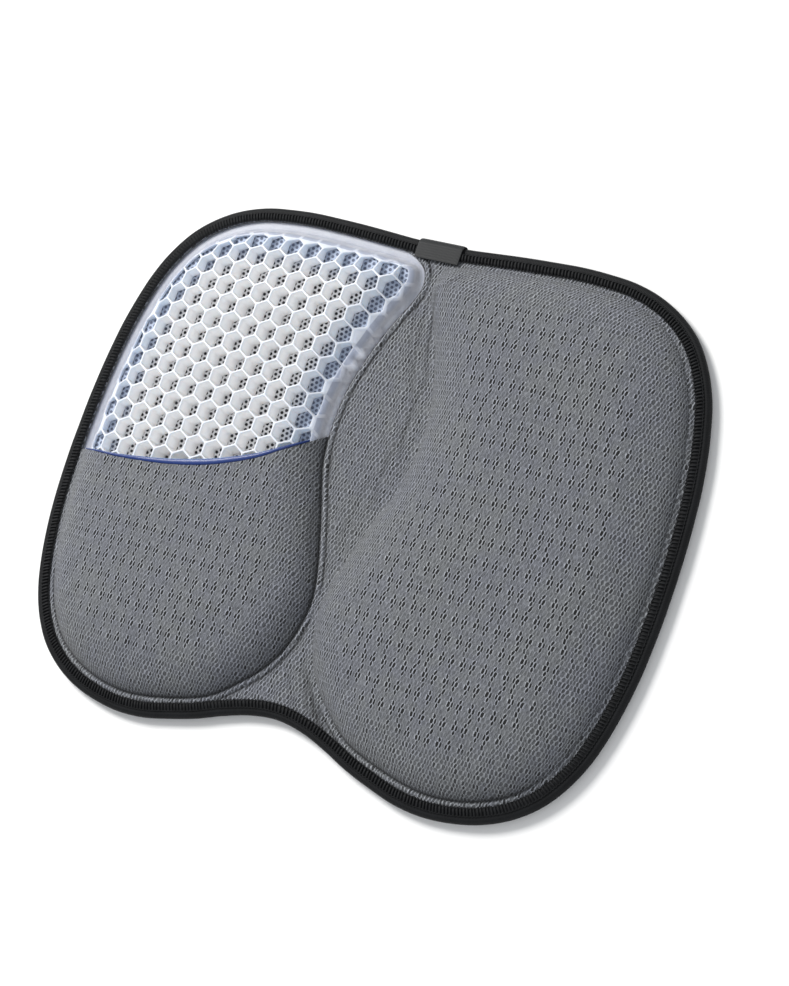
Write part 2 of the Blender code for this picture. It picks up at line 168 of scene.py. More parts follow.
def right_normals(loop):
    """Unit vectors to the right of a closed path; on a clockwise loop they point inwards."""
    tangent = np.roll(loop, -1, axis=0) - np.roll(loop, 1, axis=0)
    tangent /= np.linalg.norm(tangent, axis=1)[:, None]
    return np.column_stack([tangent[:, 1], -tangent[:, 0]])


def inset(loop, distance):
    """A clockwise loop moved inwards by the distance."""
    return loop + distance * right_normals(loop)


def ring_inside(loop, distance):
    """The loop moved inwards, without the points that a tight corner would fold over."""
    ring = inset(loop, distance)
    gap, _ = nearest_on(ring, loop, True)
    return ring[is_inside(ring, loop) & (gap > 0.97 * distance)]


def is_inside(points, loop):
    """Even-odd rule: a point is inside if a ray from it crosses the loop an odd number of times."""
    start = loop[None, :, :]
    end = np.roll(loop, -1, axis=0)[None, :, :]
    inside = np.zeros(len(points), dtype=bool)
    for first in range(0, len(points), 8000):
        part = points[first:first + 8000, None, :]
        spans = (start[..., 1] > part[..., 1]) != (end[..., 1] > part[..., 1])
        rise = np.where(spans, end[..., 1] - start[..., 1], 1.0)
        cross = start[..., 0] + (part[..., 1] - start[..., 1]) * (end[..., 0] - start[..., 0]) / rise
        inside[first:first + 8000] = np.count_nonzero(spans & (part[..., 0] < cross), axis=1) % 2
    return inside


def nearest_on(points, path, closed):
    """Nearest place on a path for each point, as (distance, place).

    Each point is dropped square onto every straight side, held between the side's ends, and
    the closest of those places is kept.
    """
    start = path if closed else path[:-1]
    side = (np.roll(path, -1, axis=0) if closed else path[1:])
    side = side[:len(start)] - start
    length2 = (side ** 2).sum(axis=1)
    place = np.empty_like(points)
    for first in range(0, len(points), 8000):
        part = points[first:first + 8000]
        to_point = part[:, None, :] - start[None, :, :]
        share = np.clip((to_point * side).sum(axis=2) / length2, 0, 1)
        gap = to_point - share[..., None] * side
        best = (gap ** 2).sum(axis=2).argmin(axis=1)
        rows = np.arange(len(part))
        place[first:first + 8000] = start[best] + share[rows, best][:, None] * side[best]
    return np.linalg.norm(points - place, axis=1), place


def mirrored(loop):
    """The loop on the other side of the centre line, still clockwise."""
    return (loop * (-1, 1))[::-1]


def scaled(shape):
    """Shares of half the width and half the depth, turned into metres."""
    return np.array(shape) * (WIDTH / 2, DEPTH / 2)


# %% The curves
def full_outline():
    right = scaled(OUTLINE_SHAPE)
    left = (right[1:-1] * (-1, 1))[::-1]
    return evenly(smooth_curve(np.vstack([right, left]), 12, True), 72, True)


def lobe_loop(outer_inset):
    """Foot of the right lobe: the outline moved inwards, closed by the channel's edge."""
    rim = inset(smooth_curve(full_outline(), 6, True), outer_inset)
    start = np.where(rim[:, 1] > 0, LOBE_REAR_START, LOBE_FRONT_START) * WIDTH / 2
    rim = rim[rim[:, 0] > start]
    rim = rim[np.argsort(-np.arctan2(rim[:, 1], rim[:, 0]))]
    rim = evenly(rim, 20, False)
    return smooth_curve(np.vstack([rim, scaled(CHANNEL_SHAPE)]), 2, True)


OUTLINE = smooth_curve(full_outline(), 8, True)
FOOT = {"right": smooth_curve(lobe_loop(LOBE_INSET), 4, True)}
FOOT["left"] = mirrored(FOOT["right"])
GEL_EDGE = {"right": smooth_curve(lobe_loop(SLOPE_START + GAP), 4, True)}
GEL_EDGE["left"] = mirrored(GEL_EDGE["right"])
CUT_LINE = smooth_curve(scaled(CUT_SHAPE), 24, False)
print("outline", len(OUTLINE), "points, foot", len(FOOT["right"]), "points")

# %% [markdown]
# ## Heights over the plan
#
# A lobe rises steeply from its foot, levels off like an ellipse, and then climbs gently to its
# crown.  Every height depends only on the distance to the foot, so the foot is the curve that
# matters.


# %% The lobe's profile
def smoothstep(value, low, high):
    """0 below low, 1 above high, and a soft S between them: 3t^2 - 2t^3."""
    t = np.clip((value - low) / (high - low), 0, 1)
    return t * t * (3 - 2 * t)


def bell(value, middle, width):
    """A bump of height 1 at the middle that fades over the width: exp(-t^2)."""
    return np.exp(-((value - middle) / width) ** 2)


def dome(depth):
    """H (1 - (1 - t)^2)^0.8 over the flank, with t from foot to shoulder, then the crown's S."""
    climb = np.clip(depth / FLANK_WIDTH, 0, 1)
    return (FLANK_HEIGHT * (1 - (1 - climb) ** 2) ** FLANK_POWER
            + CROWN * smoothstep(depth, FLANK_WIDTH, CROWN_REACH))


def lobe_field(points):
    """Signed distance to the nearer foot, above 0 on a lobe, and the unit way up its flank."""
    best = np.full(len(points), -1.0)
    way = np.zeros_like(points)
    for loop in FOOT.values():
        distance, place = nearest_on(points, loop, True)
        signed = np.where(is_inside(points, loop), distance, -distance)
        towards = (points - place) / np.maximum(distance, 1e-9)[:, None]
        towards *= np.sign(signed)[:, None]
        closer = signed > best
        best = np.where(closer, signed, best)
        way[closer] = towards[closer]
    return best, way


def rim_depth(points):
    """Distance from each point of the plan to the outline."""
    return nearest_on(points, OUTLINE, True)[0]


# %% [markdown]
# ## Meshes
#
# One helper puts arrays straight into a mesh.  It takes the vertices, groups of faces with
# the same number of corners, and optional values per vertex that a material can read.


# %% Mesh helpers
def make_piece(name, vertices, face_groups, finish, uv=None, values=None, crease=50):
    """A mesh object from arrays; crease is the angle in degrees above which an edge is sharp."""
    mesh = bpy.data.meshes.new(name)
    corners = np.concatenate([np.asarray(group).ravel() for group in face_groups]).astype(np.int32)
    sizes = np.concatenate([np.full(len(group), np.shape(group)[1]) for group in face_groups])
    starts = np.concatenate([[0], np.cumsum(sizes)[:-1]]).astype(np.int32)
    mesh.vertices.add(len(vertices))
    mesh.vertices.foreach_set("co", np.asarray(vertices, dtype=np.float32).ravel())
    mesh.loops.add(len(corners))
    mesh.loops.foreach_set("vertex_index", corners)
    mesh.polygons.add(len(sizes))
    mesh.polygons.foreach_set("loop_start", starts)
    mesh.update(calc_edges=True)
    mesh.polygons.foreach_set("use_smooth", np.ones(len(sizes), dtype=bool))
    if uv is not None:
        layer = mesh.uv_layers.new(name="weave")
        layer.data.foreach_set("uv", np.asarray(uv, dtype=np.float32)[corners].ravel())
    for key, value in (values or {}).items():
        layer = mesh.attributes.new(key, "FLOAT", "POINT")
        layer.data.foreach_set("value", np.asarray(value, dtype=np.float32))
    mesh.validate()
    mesh.set_sharp_from_angle(angle=math.radians(crease))
    mesh.materials.append(finish)
    made = bpy.data.objects.new(name, mesh)
    bpy.context.scene.collection.objects.link(made)
    triangles = int((sizes - 2).sum())
    print(f"{name}: {len(vertices)} vertices, {triangles} triangles")
    return made


def settle(piece, node):
    """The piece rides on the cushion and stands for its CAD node."""
    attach(piece, "root")
    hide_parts(node)
    return piece


def ring_faces(rows, columns, rows_close=False):
    """Quads between neighbouring rows of a grid whose columns run round in a ring.

    Vertex (row, column) has the number row * columns + column.
    """
    row = np.arange(rows if rows_close else rows - 1)[:, None]
    column = np.arange(columns)[None, :]
    ahead = (column + 1) % columns
    up = (row + 1) % rows
    corners = (row * columns + column, row * columns + ahead, up * columns + ahead,
               up * columns + column)
    return np.stack(np.broadcast_arrays(*corners), axis=-1).reshape(-1, 4)


def triangulated(paths, loose):
    """Points and triangles of the plan, with each path kept as edges (Delaunay)."""
    points = np.vstack([path for path, closed in paths] + [loose])
    edges = []
    first = 0
    for path, closed in paths:
        count = len(path)
        edges += [(first + k, first + k + 1) for k in range(count - 1)]
        if closed:
            edges.append((first + count - 1, first))
        first += count
    merge = 1e-7
    plan, _, faces, _, _, _ = delaunay_2d_cdt([Vector(p) for p in points], edges, [], 0, merge)
    return np.array([tuple(p) for p in plan]), np.array([tuple(f) for f in faces])


def used_only(plan, faces):
    """Drops the points that no face uses and numbers the rest again."""
    used, faces = np.unique(faces, return_inverse=True)
    return plan[used], faces.reshape(-1, 3)


def border_edges(faces):
    """Edges that only one triangle has, in that triangle's order."""
    sides = np.vstack([faces[:, [0, 1]], faces[:, [1, 2]], faces[:, [2, 0]]])
    size = faces.max() + 1
    key = sides[:, 0] * size + sides[:, 1]
    other = sides[:, 1] * size + sides[:, 0]
    return sides[~np.isin(key, other)]


# %% [markdown]
# ## Material helpers
#
# A material is a small network of nodes.  The helper below writes a node per call, so that a
# pattern reads like a formula: `calc("MULTIPLY", a, b)` is a times b.


# %% Node helper
class Network:
    """Adds nodes to a tree; an input may be a number, a vector or another node's socket."""

    def __init__(self, tree):
        self.tree = tree

    def feed(self, socket, value):
        if isinstance(value, bpy.types.NodeSocket):
            self.tree.links.new(value, socket)
        else:
            socket.default_value = value

    def add(self, kind, inputs, **settings):
        node = self.tree.nodes.new(kind)
        for key, value in settings.items():
            setattr(node, key, value)
        for key, value in inputs.items():
            self.feed(node.inputs[key], value)
        return node

    def calc(self, operation, *values):
        return self.add("ShaderNodeMath", dict(enumerate(values)), operation=operation).outputs[0]

    def square(self, value):
        return self.calc("MULTIPLY", value, value)

    def soft_step(self, value, low, high, to_low=0.0, to_high=1.0):
        """An S-shaped step from to_low to to_high as the value goes from low to high."""
        inputs = {"Value": value, "From Min": low, "From Max": high,
                  "To Min": to_low, "To Max": to_high}
        return self.add("ShaderNodeMapRange", inputs, interpolation_type="SMOOTHSTEP").outputs[0]

    def noise(self, vector, scale, detail=3.0, roughness=0.5):
        inputs = {"Vector": vector, "Scale": scale, "Detail": detail, "Roughness": roughness}
        return self.add("ShaderNodeTexNoise", inputs).outputs[0]

    def split(self, vector):
        return self.add("ShaderNodeSeparateXYZ", {"Vector": vector}).outputs

    def mix(self, share, first, second):
        node = self.tree.nodes.new("ShaderNodeMix")
        node.data_type = "RGBA"
        self.feed(node.inputs[0], share)
        self.feed(node.inputs[6], first if hasattr(first, "links") else (*first, 1.0))
        self.feed(node.inputs[7], second if hasattr(second, "links") else (*second, 1.0))
        return node.outputs[2]

    def bump(self, height, distance, strength=1.0):
        inputs = {"Height": height, "Distance": distance, "Strength": strength}
        return self.add("ShaderNodeBump", inputs).outputs[0]

    def value(self, name):
        """A per-vertex value that the mesh carries."""
        return self.add("ShaderNodeAttribute", {}, attribute_name=name).outputs["Fac"]

    def uv(self):
        return self.add("ShaderNodeUVMap", {}, uv_map="weave").outputs[0]

    def place(self):
        return self.add("ShaderNodeTexCoord", {}).outputs["Object"]

    def group(self, name, **inputs):
        node = self.tree.nodes.new("ShaderNodeGroup")
        node.node_tree = bpy.data.node_groups[name]
        for key, value in inputs.items():
            self.feed(node.inputs[key.replace("_", " ")], value)
        return node.outputs


def dress(net, shader, colour, height, distance, strength=1.0):
    """Feeds a colour and a bump made from a height into the shader."""
    net.feed(shader.inputs["Base Color"], colour)
    net.feed(shader.inputs["Normal"], net.bump(height, distance, strength))


def new_material(name, **sockets):
    """A Principled material, its network and its shader, with plain values on the shader."""
    made = bpy.data.materials.new(name)
    made.use_nodes = True
    shader = made.node_tree.nodes["Principled BSDF"]
    for key, value in sockets.items():
        shader.inputs[key.replace("_", " ")].default_value = value
    return made, Network(made.node_tree), shader


def new_group(name, inputs, outputs):
    """An empty node group with float inputs (Vector excepted), and its two end nodes."""
    tree = bpy.data.node_groups.new(name, "ShaderNodeTree")
    for key in inputs:
        kind = "NodeSocketVector" if key == "Vector" else "NodeSocketFloat"
        tree.interface.new_socket(name=key, in_out="INPUT", socket_type=kind)
    for key in outputs:
        tree.interface.new_socket(name=key, in_out="OUTPUT", socket_type="NodeSocketFloat")
    start = tree.nodes.new("NodeGroupInput")
    end = tree.nodes.new("NodeGroupOutput")
    return Network(tree), start.outputs, end.inputs


# %% [markdown]
# ### Staggered holes
#
# A warp knit, a perforated liner and a field of grip dots are the same drawing at different
# sizes: ovals in rows, each row shifted by half a step, and every other row may be shorter.
# The group gives 1 inside an oval, how far a place is from the oval's middle, and that middle.


# %% Group: staggered ovals
def build_staggered_ovals():
    """Row number = floor(v / row step); odd rows are shifted by half a column.

    Reach is the distance from the oval's middle in radii, sqrt(a^2 + d^2), and Middle is where
    that middle lies.  Lean tilts each oval but not the rows.
    """
    net, given, result = new_group(
        "staggered_ovals",
        ("Vector", "Column Step", "Row Step", "Oval Width", "Oval Length", "Odd Length", "Lean"),
        ("Inside", "Reach", "Middle U", "Middle V"))
    u, v, _ = net.split(given["Vector"])
    row = net.calc("DIVIDE", v, given["Row Step"])
    whole = net.calc("FLOOR", row)
    down = net.calc("SUBTRACT", net.calc("SUBTRACT", row, whole), 0.5)
    odd = net.calc("FLOORED_MODULO", whole, 2.0)
    column = net.calc("MULTIPLY_ADD", odd, 0.5, net.calc("DIVIDE", u, given["Column Step"]))
    across = net.calc("SUBTRACT", net.calc("FRACT", column), 0.5)
    across = net.calc("MULTIPLY", across, net.calc("MULTIPLY", given["Column Step"], 2.0))
    down = net.calc("MULTIPLY", down, net.calc("MULTIPLY", given["Row Step"], 2.0))
    across = net.calc("MULTIPLY_ADD", down, given["Lean"], across)
    across = net.calc("DIVIDE", across, given["Oval Width"])
    longer = net.calc("SUBTRACT", given["Odd Length"], given["Oval Length"])
    down = net.calc("DIVIDE", down, net.calc("MULTIPLY_ADD", odd, longer, given["Oval Length"]))
    reach = net.calc("SQRT", net.calc("ADD", net.square(across), net.square(down)))
    net.feed(result["Reach"], reach)
    net.feed(result["Inside"], net.soft_step(reach, 0.84, 1.10, 1.0, 0.0))
    place = net.calc("MULTIPLY_ADD", odd, -0.5, net.calc("FLOOR", column))
    net.feed(result["Middle U"], net.calc("MULTIPLY", net.calc("ADD", place, 0.5), given["Column Step"]))
    net.feed(result["Middle V"], net.calc("MULTIPLY", net.calc("ADD", whole, 0.5), given["Row Step"]))


def build_hexagons():
    """Distance from the nearest cell's middle, 1 at its sides: 2 max(|x|, |x|/2 + |y| sqrt(3)/2)."""
    net, given, result = new_group("hexagons", ("Vector", "Pitch"), ("Reach",))
    x, y, _ = net.split(given["Vector"])
    tall = net.calc("MULTIPLY", given["Pitch"], math.sqrt(3))
    reaches = []
    for half in (0.0, 0.5):
        across = net.calc("FRACT", net.calc("ADD", net.calc("DIVIDE", x, given["Pitch"]), half + 0.5))
        along = net.calc("FRACT", net.calc("ADD", net.calc("DIVIDE", y, tall), half + 0.5))
        across = net.calc("ABSOLUTE", net.calc("SUBTRACT", across, 0.5))
        along = net.calc("ABSOLUTE", net.calc("SUBTRACT", along, 0.5))
        slanted = net.calc("MULTIPLY_ADD", across, 0.5, net.calc("MULTIPLY", along, 1.5))
        reaches.append(net.calc("MAXIMUM", across, slanted))
    nearest = net.calc("MINIMUM", *reaches)
    net.feed(result["Reach"], net.calc("MULTIPLY", nearest, 2.0))


def build_ribs():
    """Fine ribs across a ribbon with a slower beat along them: a product of two sine waves."""
    net, given, result = new_group("ribbon_ribs", ("Vector", "Rib Step", "Beat Step"), ("Height",))
    u, v, _ = net.split(given["Vector"])
    turn = 2 * math.pi
    rib = net.calc("SINE", net.calc("MULTIPLY", net.calc("DIVIDE", u, given["Rib Step"]), turn))
    beat = net.calc("SINE", net.calc("MULTIPLY", net.calc("DIVIDE", v, given["Beat Step"]), turn))
    both = net.calc("MULTIPLY_ADD", net.calc("MULTIPLY", rib, beat), 0.5, rib)
    net.feed(result["Height"], net.calc("MULTIPLY_ADD", both, 0.33, 0.5))


def build_mottle():
    """Slow colour variation: two sizes of noise, averaged and spread to about 0 to 1."""
    net, given, result = new_group("mottle", ("Vector", "Scale"), ("Share",))
    broad = net.noise(given["Vector"], given["Scale"], 2.0)
    fine = net.noise(given["Vector"], net.calc("MULTIPLY", given["Scale"], 7.0), 3.0)
    both = net.calc("MULTIPLY_ADD", fine, 0.4, net.calc("MULTIPLY", broad, 0.6))
    net.feed(result["Share"], net.soft_step(both, 0.36, 0.64))


build_staggered_ovals()
build_hexagons()
build_ribs()
build_mottle()

# %% [markdown]
# ### The grey knit
#
# The cover is a warp knit: thin threads cross in a diamond net round narrow slits, in rows of
# long and short ones.  Where the fabric lies flat on a lobe the slits gape in small clusters of
# paired columns, one cluster over each gel cell, and elsewhere they are nearly shut.
# The pattern follows the mesh's own UV map, which is in metres and is unrolled down the
# flanks, so the slits keep their size where the cover turns steep.


# %% Material: cover knit
SLIT_COLUMN = CELL_PITCH / 6
SLIT_ROW = CELL_PITCH * math.sqrt(3) / 8
CLUSTER_WIDTH = 0.0132
CLUSTER_LENGTH = 0.0112
PAIR_PULL = 0.055 * CELL_PITCH


def gel_clusters(net, u, v, ragged):
    """1 in an upright oval over each gel cell, from two grids of ovals that interlock."""
    nearest = []
    for half in (0.0, 0.5):
        squares = []
        for value, step, size in ((u, CELL_PITCH, CLUSTER_WIDTH),
                                  (v, CELL_PITCH * math.sqrt(3), CLUSTER_LENGTH)):
            share = net.calc("FRACT", net.calc("MULTIPLY_ADD", value, 1 / step, half + 0.5))
            offset = net.calc("MULTIPLY", net.calc("SUBTRACT", share, 0.5), 2 * step / size)
            squares.append(net.square(offset))
        nearest.append(net.calc("ADD", *squares))
    reach = net.calc("ADD", net.calc("MINIMUM", *nearest), ragged)
    return net.soft_step(reach, 0.95, 1.10, 1.0, 0.0)


def paired_columns(net, u):
    """1 on two slit columns of every three, 0 on the third, from how far the pair's middle is."""
    share = net.calc("FRACT", net.calc("MULTIPLY", u, 2 / CELL_PITCH))
    away = net.calc("ABSOLUTE", net.calc("SUBTRACT", share, 0.5))
    return net.soft_step(away, 0.20, 0.30, 1.0, 0.0)


def cover_knit():
    made, net, shader = new_material("cover_knit", Roughness=0.88, Sheen_Weight=0.10,
                                     Sheen_Roughness=0.5)
    uv = net.uv()
    slant = net.add("ShaderNodeMapping", {"Vector": uv, "Rotation": (0, 0, 0.10)}).outputs[0]
    u, v, _ = net.split(uv)
    wobble = net.calc("SUBTRACT", net.noise(uv, 300.0, 2.0), 0.5)
    wave = net.calc("SINE", net.calc("MULTIPLY", u, 2 * math.pi / CELL_PITCH))
    flip = net.calc("COSINE", net.calc("MULTIPLY", v, 2 * math.pi / (CELL_PITCH * math.sqrt(3))))
    pull = net.calc("MULTIPLY_ADD", net.calc("MULTIPLY", wave, flip), PAIR_PULL, -CELL_PITCH / 12)
    sway = net.add("ShaderNodeCombineXYZ", {
        "X": net.calc("MULTIPLY_ADD", wobble, 0.0010, pull),
        "Y": net.calc("MULTIPLY_ADD", wobble, 0.0012, SLIT_ROW / 4)}).outputs[0]
    shift = net.add("ShaderNodeVectorMath", {0: uv, 1: sway}, operation="ADD").outputs[0]
    knit = net.group("staggered_ovals", Vector=shift, Column_Step=SLIT_COLUMN, Row_Step=SLIT_ROW,
                     Oval_Width=0.00150, Oval_Length=0.0048, Odd_Length=0.0029, Lean=-0.10)
    middle_u = net.calc("ADD", knit["Middle U"], CELL_PITCH / 12)
    middle_v = net.calc("SUBTRACT", knit["Middle V"], SLIT_ROW / 4)
    middle = net.add("ShaderNodeCombineXYZ", {"X": middle_u, "Y": middle_v}).outputs[0]
    chance = net.noise(middle, 420.0, 2.0)
    pair = paired_columns(net, middle_u)
    ragged = net.calc("MULTIPLY_ADD", chance, 1.2, -0.62)
    cluster = net.calc("MULTIPLY", gel_clusters(net, middle_u, middle_v, ragged), pair)
    cluster = net.calc("MULTIPLY", cluster, net.value("plateau"))
    outside = net.soft_step(net.value("plateau"), 0.0, 1.0, 0.62, 0.22)
    uneven = net.soft_step(chance, 0.35, 0.65, 0.50, 1.40)
    outside = net.calc("MULTIPLY", outside, net.calc("MULTIPLY_ADD", pair, 0.35, 0.65))
    open_share = net.calc("MAXIMUM", cluster, net.calc("MULTIPLY", outside, uneven))
    hole = net.calc("MULTIPLY", knit["Inside"], net.calc("MINIMUM", open_share, 1.0))

    ring = net.calc("MULTIPLY", net.soft_step(knit["Reach"], 1.0, 1.3),
                    net.soft_step(knit["Reach"], 1.4, 2.3, 1.0, 0.0))
    ring = net.calc("MULTIPLY", ring, net.calc("MULTIPLY_ADD", open_share, 1.80, 0.02))
    streaks = net.add("ShaderNodeMapping", {"Vector": slant, "Scale": (1.0, 0.22, 1.0)}).outputs[0]
    strand = net.noise(streaks, 1300.0, 3.0, 0.7)
    strand = net.soft_step(strand, 0.32, 0.68, 0.46, 1.20)
    share = net.group("mottle", Vector=uv, Scale=16.0)["Share"]
    cloth = net.mix(share, (0.158, 0.166, 0.192), (0.168, 0.176, 0.187))
    # The crease value is painted shade in the welt grooves, the creases and under the flank, less a
    # painted highlight on the welt; it darkens the cloth here.
    shade = net.calc("SUBTRACT", 1.0, net.calc("MULTIPLY", net.value("crease"), 0.75))
    bright = net.calc("MULTIPLY", net.calc("ADD", strand, ring), shade)
    frayed = net.calc("MULTIPLY", net.value("fringe"), net.soft_step(strand, 0.75, 1.20, 0.0, 1.0))
    bright = net.calc("ADD", bright, frayed)
    cloth = net.add("ShaderNodeVectorMath", {0: cloth, "Scale": bright}, operation="SCALE").outputs[0]
    height = net.calc("SUBTRACT", net.calc("MULTIPLY_ADD", strand, 0.45, ring),
                      net.calc("MULTIPLY", hole, 0.9))
    # The open and nearly shut slits are painted near-black: painted shade inside holes that the shell
    # does not cut.
    dress(net, shader, net.mix(hole, cloth, (0.001, 0.001, 0.0015)), height, 0.0006, 0.8)
    return made


# %% [markdown]
# ### Gel, liner and foam
#
# The gel is a milky elastomer.  Its top faces are painted greyer than the walls deep in its
# cells: painted light that offsets the shade inside the cells.  The outer cells, which stand
# over the darker flank, look blue.  Subsurface scattering gives the soft glow.  The liner is
# white with round holes, and the foam is an off-white open sponge.


# %% Materials: gel, liner, foam
def gel_white():
    made, net, shader = new_material(
        "gel_white", Roughness=0.42, Subsurface_Weight=0.50, Subsurface_Scale=0.004, IOR=1.42,
        Subsurface_Radius=(0.75, 0.88, 1.0), Coat_Weight=0.08, Coat_Roughness=0.2)
    place = net.place()
    depth = net.value("depth")
    cloud = net.noise(place, 120.0, 4.0, 0.65)
    outer = net.soft_step(depth, GEL_MARGIN + 0.003, 0.034, 1.0, 0.0)
    walls = net.mix(outer, (0.97, 0.97, 0.98), (0.74, 0.79, 0.88))
    # Painted light: where the rim share is low, deep in the cells, the walls are whiter than the top
    # faces, to offset the shade inside the cells.
    body = net.mix(net.value("rim"), walls, (0.62, 0.65, 0.72))
    cell = net.group("hexagons", Vector=place, Pitch=CELL_PITCH)["Reach"]
    # Painted shade: the cells cut off at the margin are painted darker inside, in place of recesses too
    # shallow to model, with a matching bump.
    blind = net.calc("MULTIPLY", net.soft_step(cell, 0.78, 0.90, 1.0, 0.0),
                     net.soft_step(depth, 0.0042, 0.0062))
    margin = net.mix(net.soft_step(cloud, 0.40, 0.62), (0.49, 0.52, 0.61), (0.58, 0.61, 0.70))
    margin = net.mix(net.calc("MULTIPLY", blind, 0.75), margin, (0.30, 0.33, 0.42))
    margin = net.mix(net.soft_step(depth, 0.0, 0.0035, 0.7, 0.0), margin, (0.20, 0.22, 0.29))
    on_margin = net.soft_step(depth, GEL_MARGIN - 0.0007, GEL_MARGIN - 0.0001, 1.0, 0.0)
    height = net.calc("SUBTRACT", net.noise(place, 900.0, 2.0), net.calc("MULTIPLY", blind, 1.5))
    dress(net, shader, net.mix(on_margin, body, margin), height, 0.0003, 0.35)
    return made


def liner_white():
    made, net, shader = new_material("liner_white", Roughness=0.8, Sheen_Weight=0.1)
    place = net.place()
    turned = net.add("ShaderNodeMapping", {"Vector": place, "Rotation": (0, 0, 0.35)}).outputs[0]
    holes = net.group("staggered_ovals", Vector=turned, Column_Step=0.0037, Row_Step=0.0030,
                      Oval_Width=0.0024, Oval_Length=0.0022, Odd_Length=0.0022)
    outer = net.soft_step(net.value("depth"), 0.016, 0.034, 1.0, 0.0)
    cloth = net.mix(outer, (0.90, 0.90, 0.91), (0.42, 0.48, 0.60))
    # The holes are painted near-black: painted shade inside holes that the liner's mesh does not cut.
    hole = net.mix(outer, (0.020, 0.020, 0.024), (0.12, 0.14, 0.20))
    fibre = net.noise(place, 2500.0, 2.0)
    height = net.calc("SUBTRACT", net.calc("MULTIPLY", fibre, 0.3), holes["Inside"])
    dress(net, shader, net.mix(holes["Inside"], cloth, hole), height, 0.0005)
    return made


def foam_cream():
    made, net, shader = new_material("foam_cream", Roughness=0.95)
    place = net.place()
    pores = net.add("ShaderNodeTexVoronoi", {"Vector": place, "Scale": 900.0}).outputs["Distance"]
    share = net.group("mottle", Vector=place, Scale=30.0)["Share"]
    foam = net.mix(share, (0.58, 0.57, 0.50), (0.68, 0.67, 0.61))
    # The pores are painted darker: painted shade inside them.
    pitted = net.mix(net.soft_step(pores, 0.0, 0.35, 0.6, 0.0), foam, (0.30, 0.29, 0.25))
    dress(net, shader, pitted, pores, 0.0006, 0.8)
    return made


# %% [markdown]
# ### Black fabrics
#
# The tape, its thread, the tab and the base cover are all black or charcoal, so they differ
# in how they catch the light.  The tape has ribs across it, the thread has a soft gloss, and
# the base cover carries rows of raised grip dots.


# %% Materials: tape, thread, tab, trim, base
def ribbed(name, dark, light, rib_step, beat_step, relief, **sockets):
    """A woven ribbon: ribs from the UV map, and colour painted darker in the rib grooves and lighter on
    the rib tops (painted shade and light), mixed with a mottle of wear.
    """
    made, net, shader = new_material(name, **sockets)
    uv = net.uv()
    height = net.group("ribbon_ribs", Vector=uv, Rib_Step=rib_step, Beat_Step=beat_step)["Height"]
    worn = net.group("mottle", Vector=uv, Scale=60.0)["Share"]
    # Painted shade and light: the colour follows the rib height, darker in the grooves and lighter on
    # the tops, plus a mottle of wear.
    share = net.calc("MULTIPLY_ADD", height, 0.55, net.calc("MULTIPLY", worn, 0.45))
    dress(net, shader, net.mix(share, dark, light), height, relief, 0.8)
    return made


def thread_black():
    made, net, shader = new_material("thread_black", Roughness=0.6, Specular_IOR_Level=0.2)
    place = net.place()
    share = net.group("mottle", Vector=place, Scale=300.0)["Share"]
    thread = net.mix(share, (0.0050, 0.0054, 0.0062), (0.0130, 0.0138, 0.0155))
    dress(net, shader, thread, net.noise(place, 3000.0, 2.0), 0.0002, 0.6)
    return made


def trim_blue():
    made, net, shader = new_material("trim_blue", Roughness=0.42, Coat_Weight=0.15)
    uv = net.uv()
    _, across, _ = net.split(uv)
    # Painted highlight: a pale blue band along the cord's edge next to the gel.
    pale = net.soft_step(across, 0.88, 0.96)
    share = net.group("mottle", Vector=uv, Scale=40.0)["Share"]
    blue = net.mix(share, (0.004, 0.024, 0.14), (0.007, 0.036, 0.20))
    cord = net.mix(pale, blue, (0.45, 0.62, 0.90))
    dress(net, shader, cord, net.noise(uv, 900.0, 2.0), 0.0001, 0.5)
    return made


def grip_black():
    made, net, shader = new_material("grip_black", Roughness=0.85, Sheen_Weight=0.1)
    place = net.place()
    knit = net.group("staggered_ovals", Vector=place, Column_Step=0.0016, Row_Step=0.0012,
                     Oval_Width=0.0006, Oval_Length=0.0012, Odd_Length=0.0012)
    dots = net.group("staggered_ovals", Vector=place, Column_Step=0.0090, Row_Step=0.0078,
                     Oval_Width=0.0034, Oval_Length=0.0034, Odd_Length=0.0034)
    share = net.group("mottle", Vector=place, Scale=25.0)["Share"]
    cloth = net.mix(share, (0.016, 0.017, 0.020), (0.030, 0.031, 0.035))
    # The knit's holes are painted darker: painted shade inside them.
    cloth = net.mix(net.calc("MULTIPLY", knit["Inside"], 0.6), cloth, (0.005, 0.005, 0.006))
    net.feed(shader.inputs["Roughness"], net.calc("MULTIPLY_ADD", dots["Inside"], -0.4, 0.88))
    height = net.calc("MULTIPLY_ADD", dots["Inside"], 1.6,
                      net.calc("MULTIPLY", knit["Inside"], -0.5))
    dress(net, shader, net.mix(dots["Inside"], cloth, (0.022, 0.022, 0.024)), height, 0.0004)
    return made


KNIT = cover_knit()
GEL = gel_white()
LINER = liner_white()
FOAM = foam_cream()
TAPE = ribbed("tape_black", (0.0028, 0.0031, 0.0036), (0.0085, 0.0094, 0.0110), 0.0011, 0.0024,
              0.0003, Roughness=0.65, Specular_IOR_Level=0.2)
TAB = ribbed("tab_charcoal", (0.0078, 0.0087, 0.0097), (0.0140, 0.0154, 0.0171), 0.0009, 0.0018,
             0.00015, Roughness=0.6, Specular_IOR_Level=0.35)
THREAD = thread_black()
TRIM = trim_blue()
GRIP = grip_black()
print(len(bpy.data.materials), "materials,", len(bpy.data.node_groups), "groups")

# %% [markdown]
# ## Flat layers
#
# The base cover, the base foam, the foam cores and the liners are slabs with soft edges.
# Each is one surface: a profile of (distance inside the edge, height) is carried round the
# edge, and the last ring on each side shrinks to a point in the middle.


# %% Slabs
DRAWN_IN = (0.95, 0.90, 0.84, 0.77, 0.68, 0.57, 0.43, 0.29, 0.15)


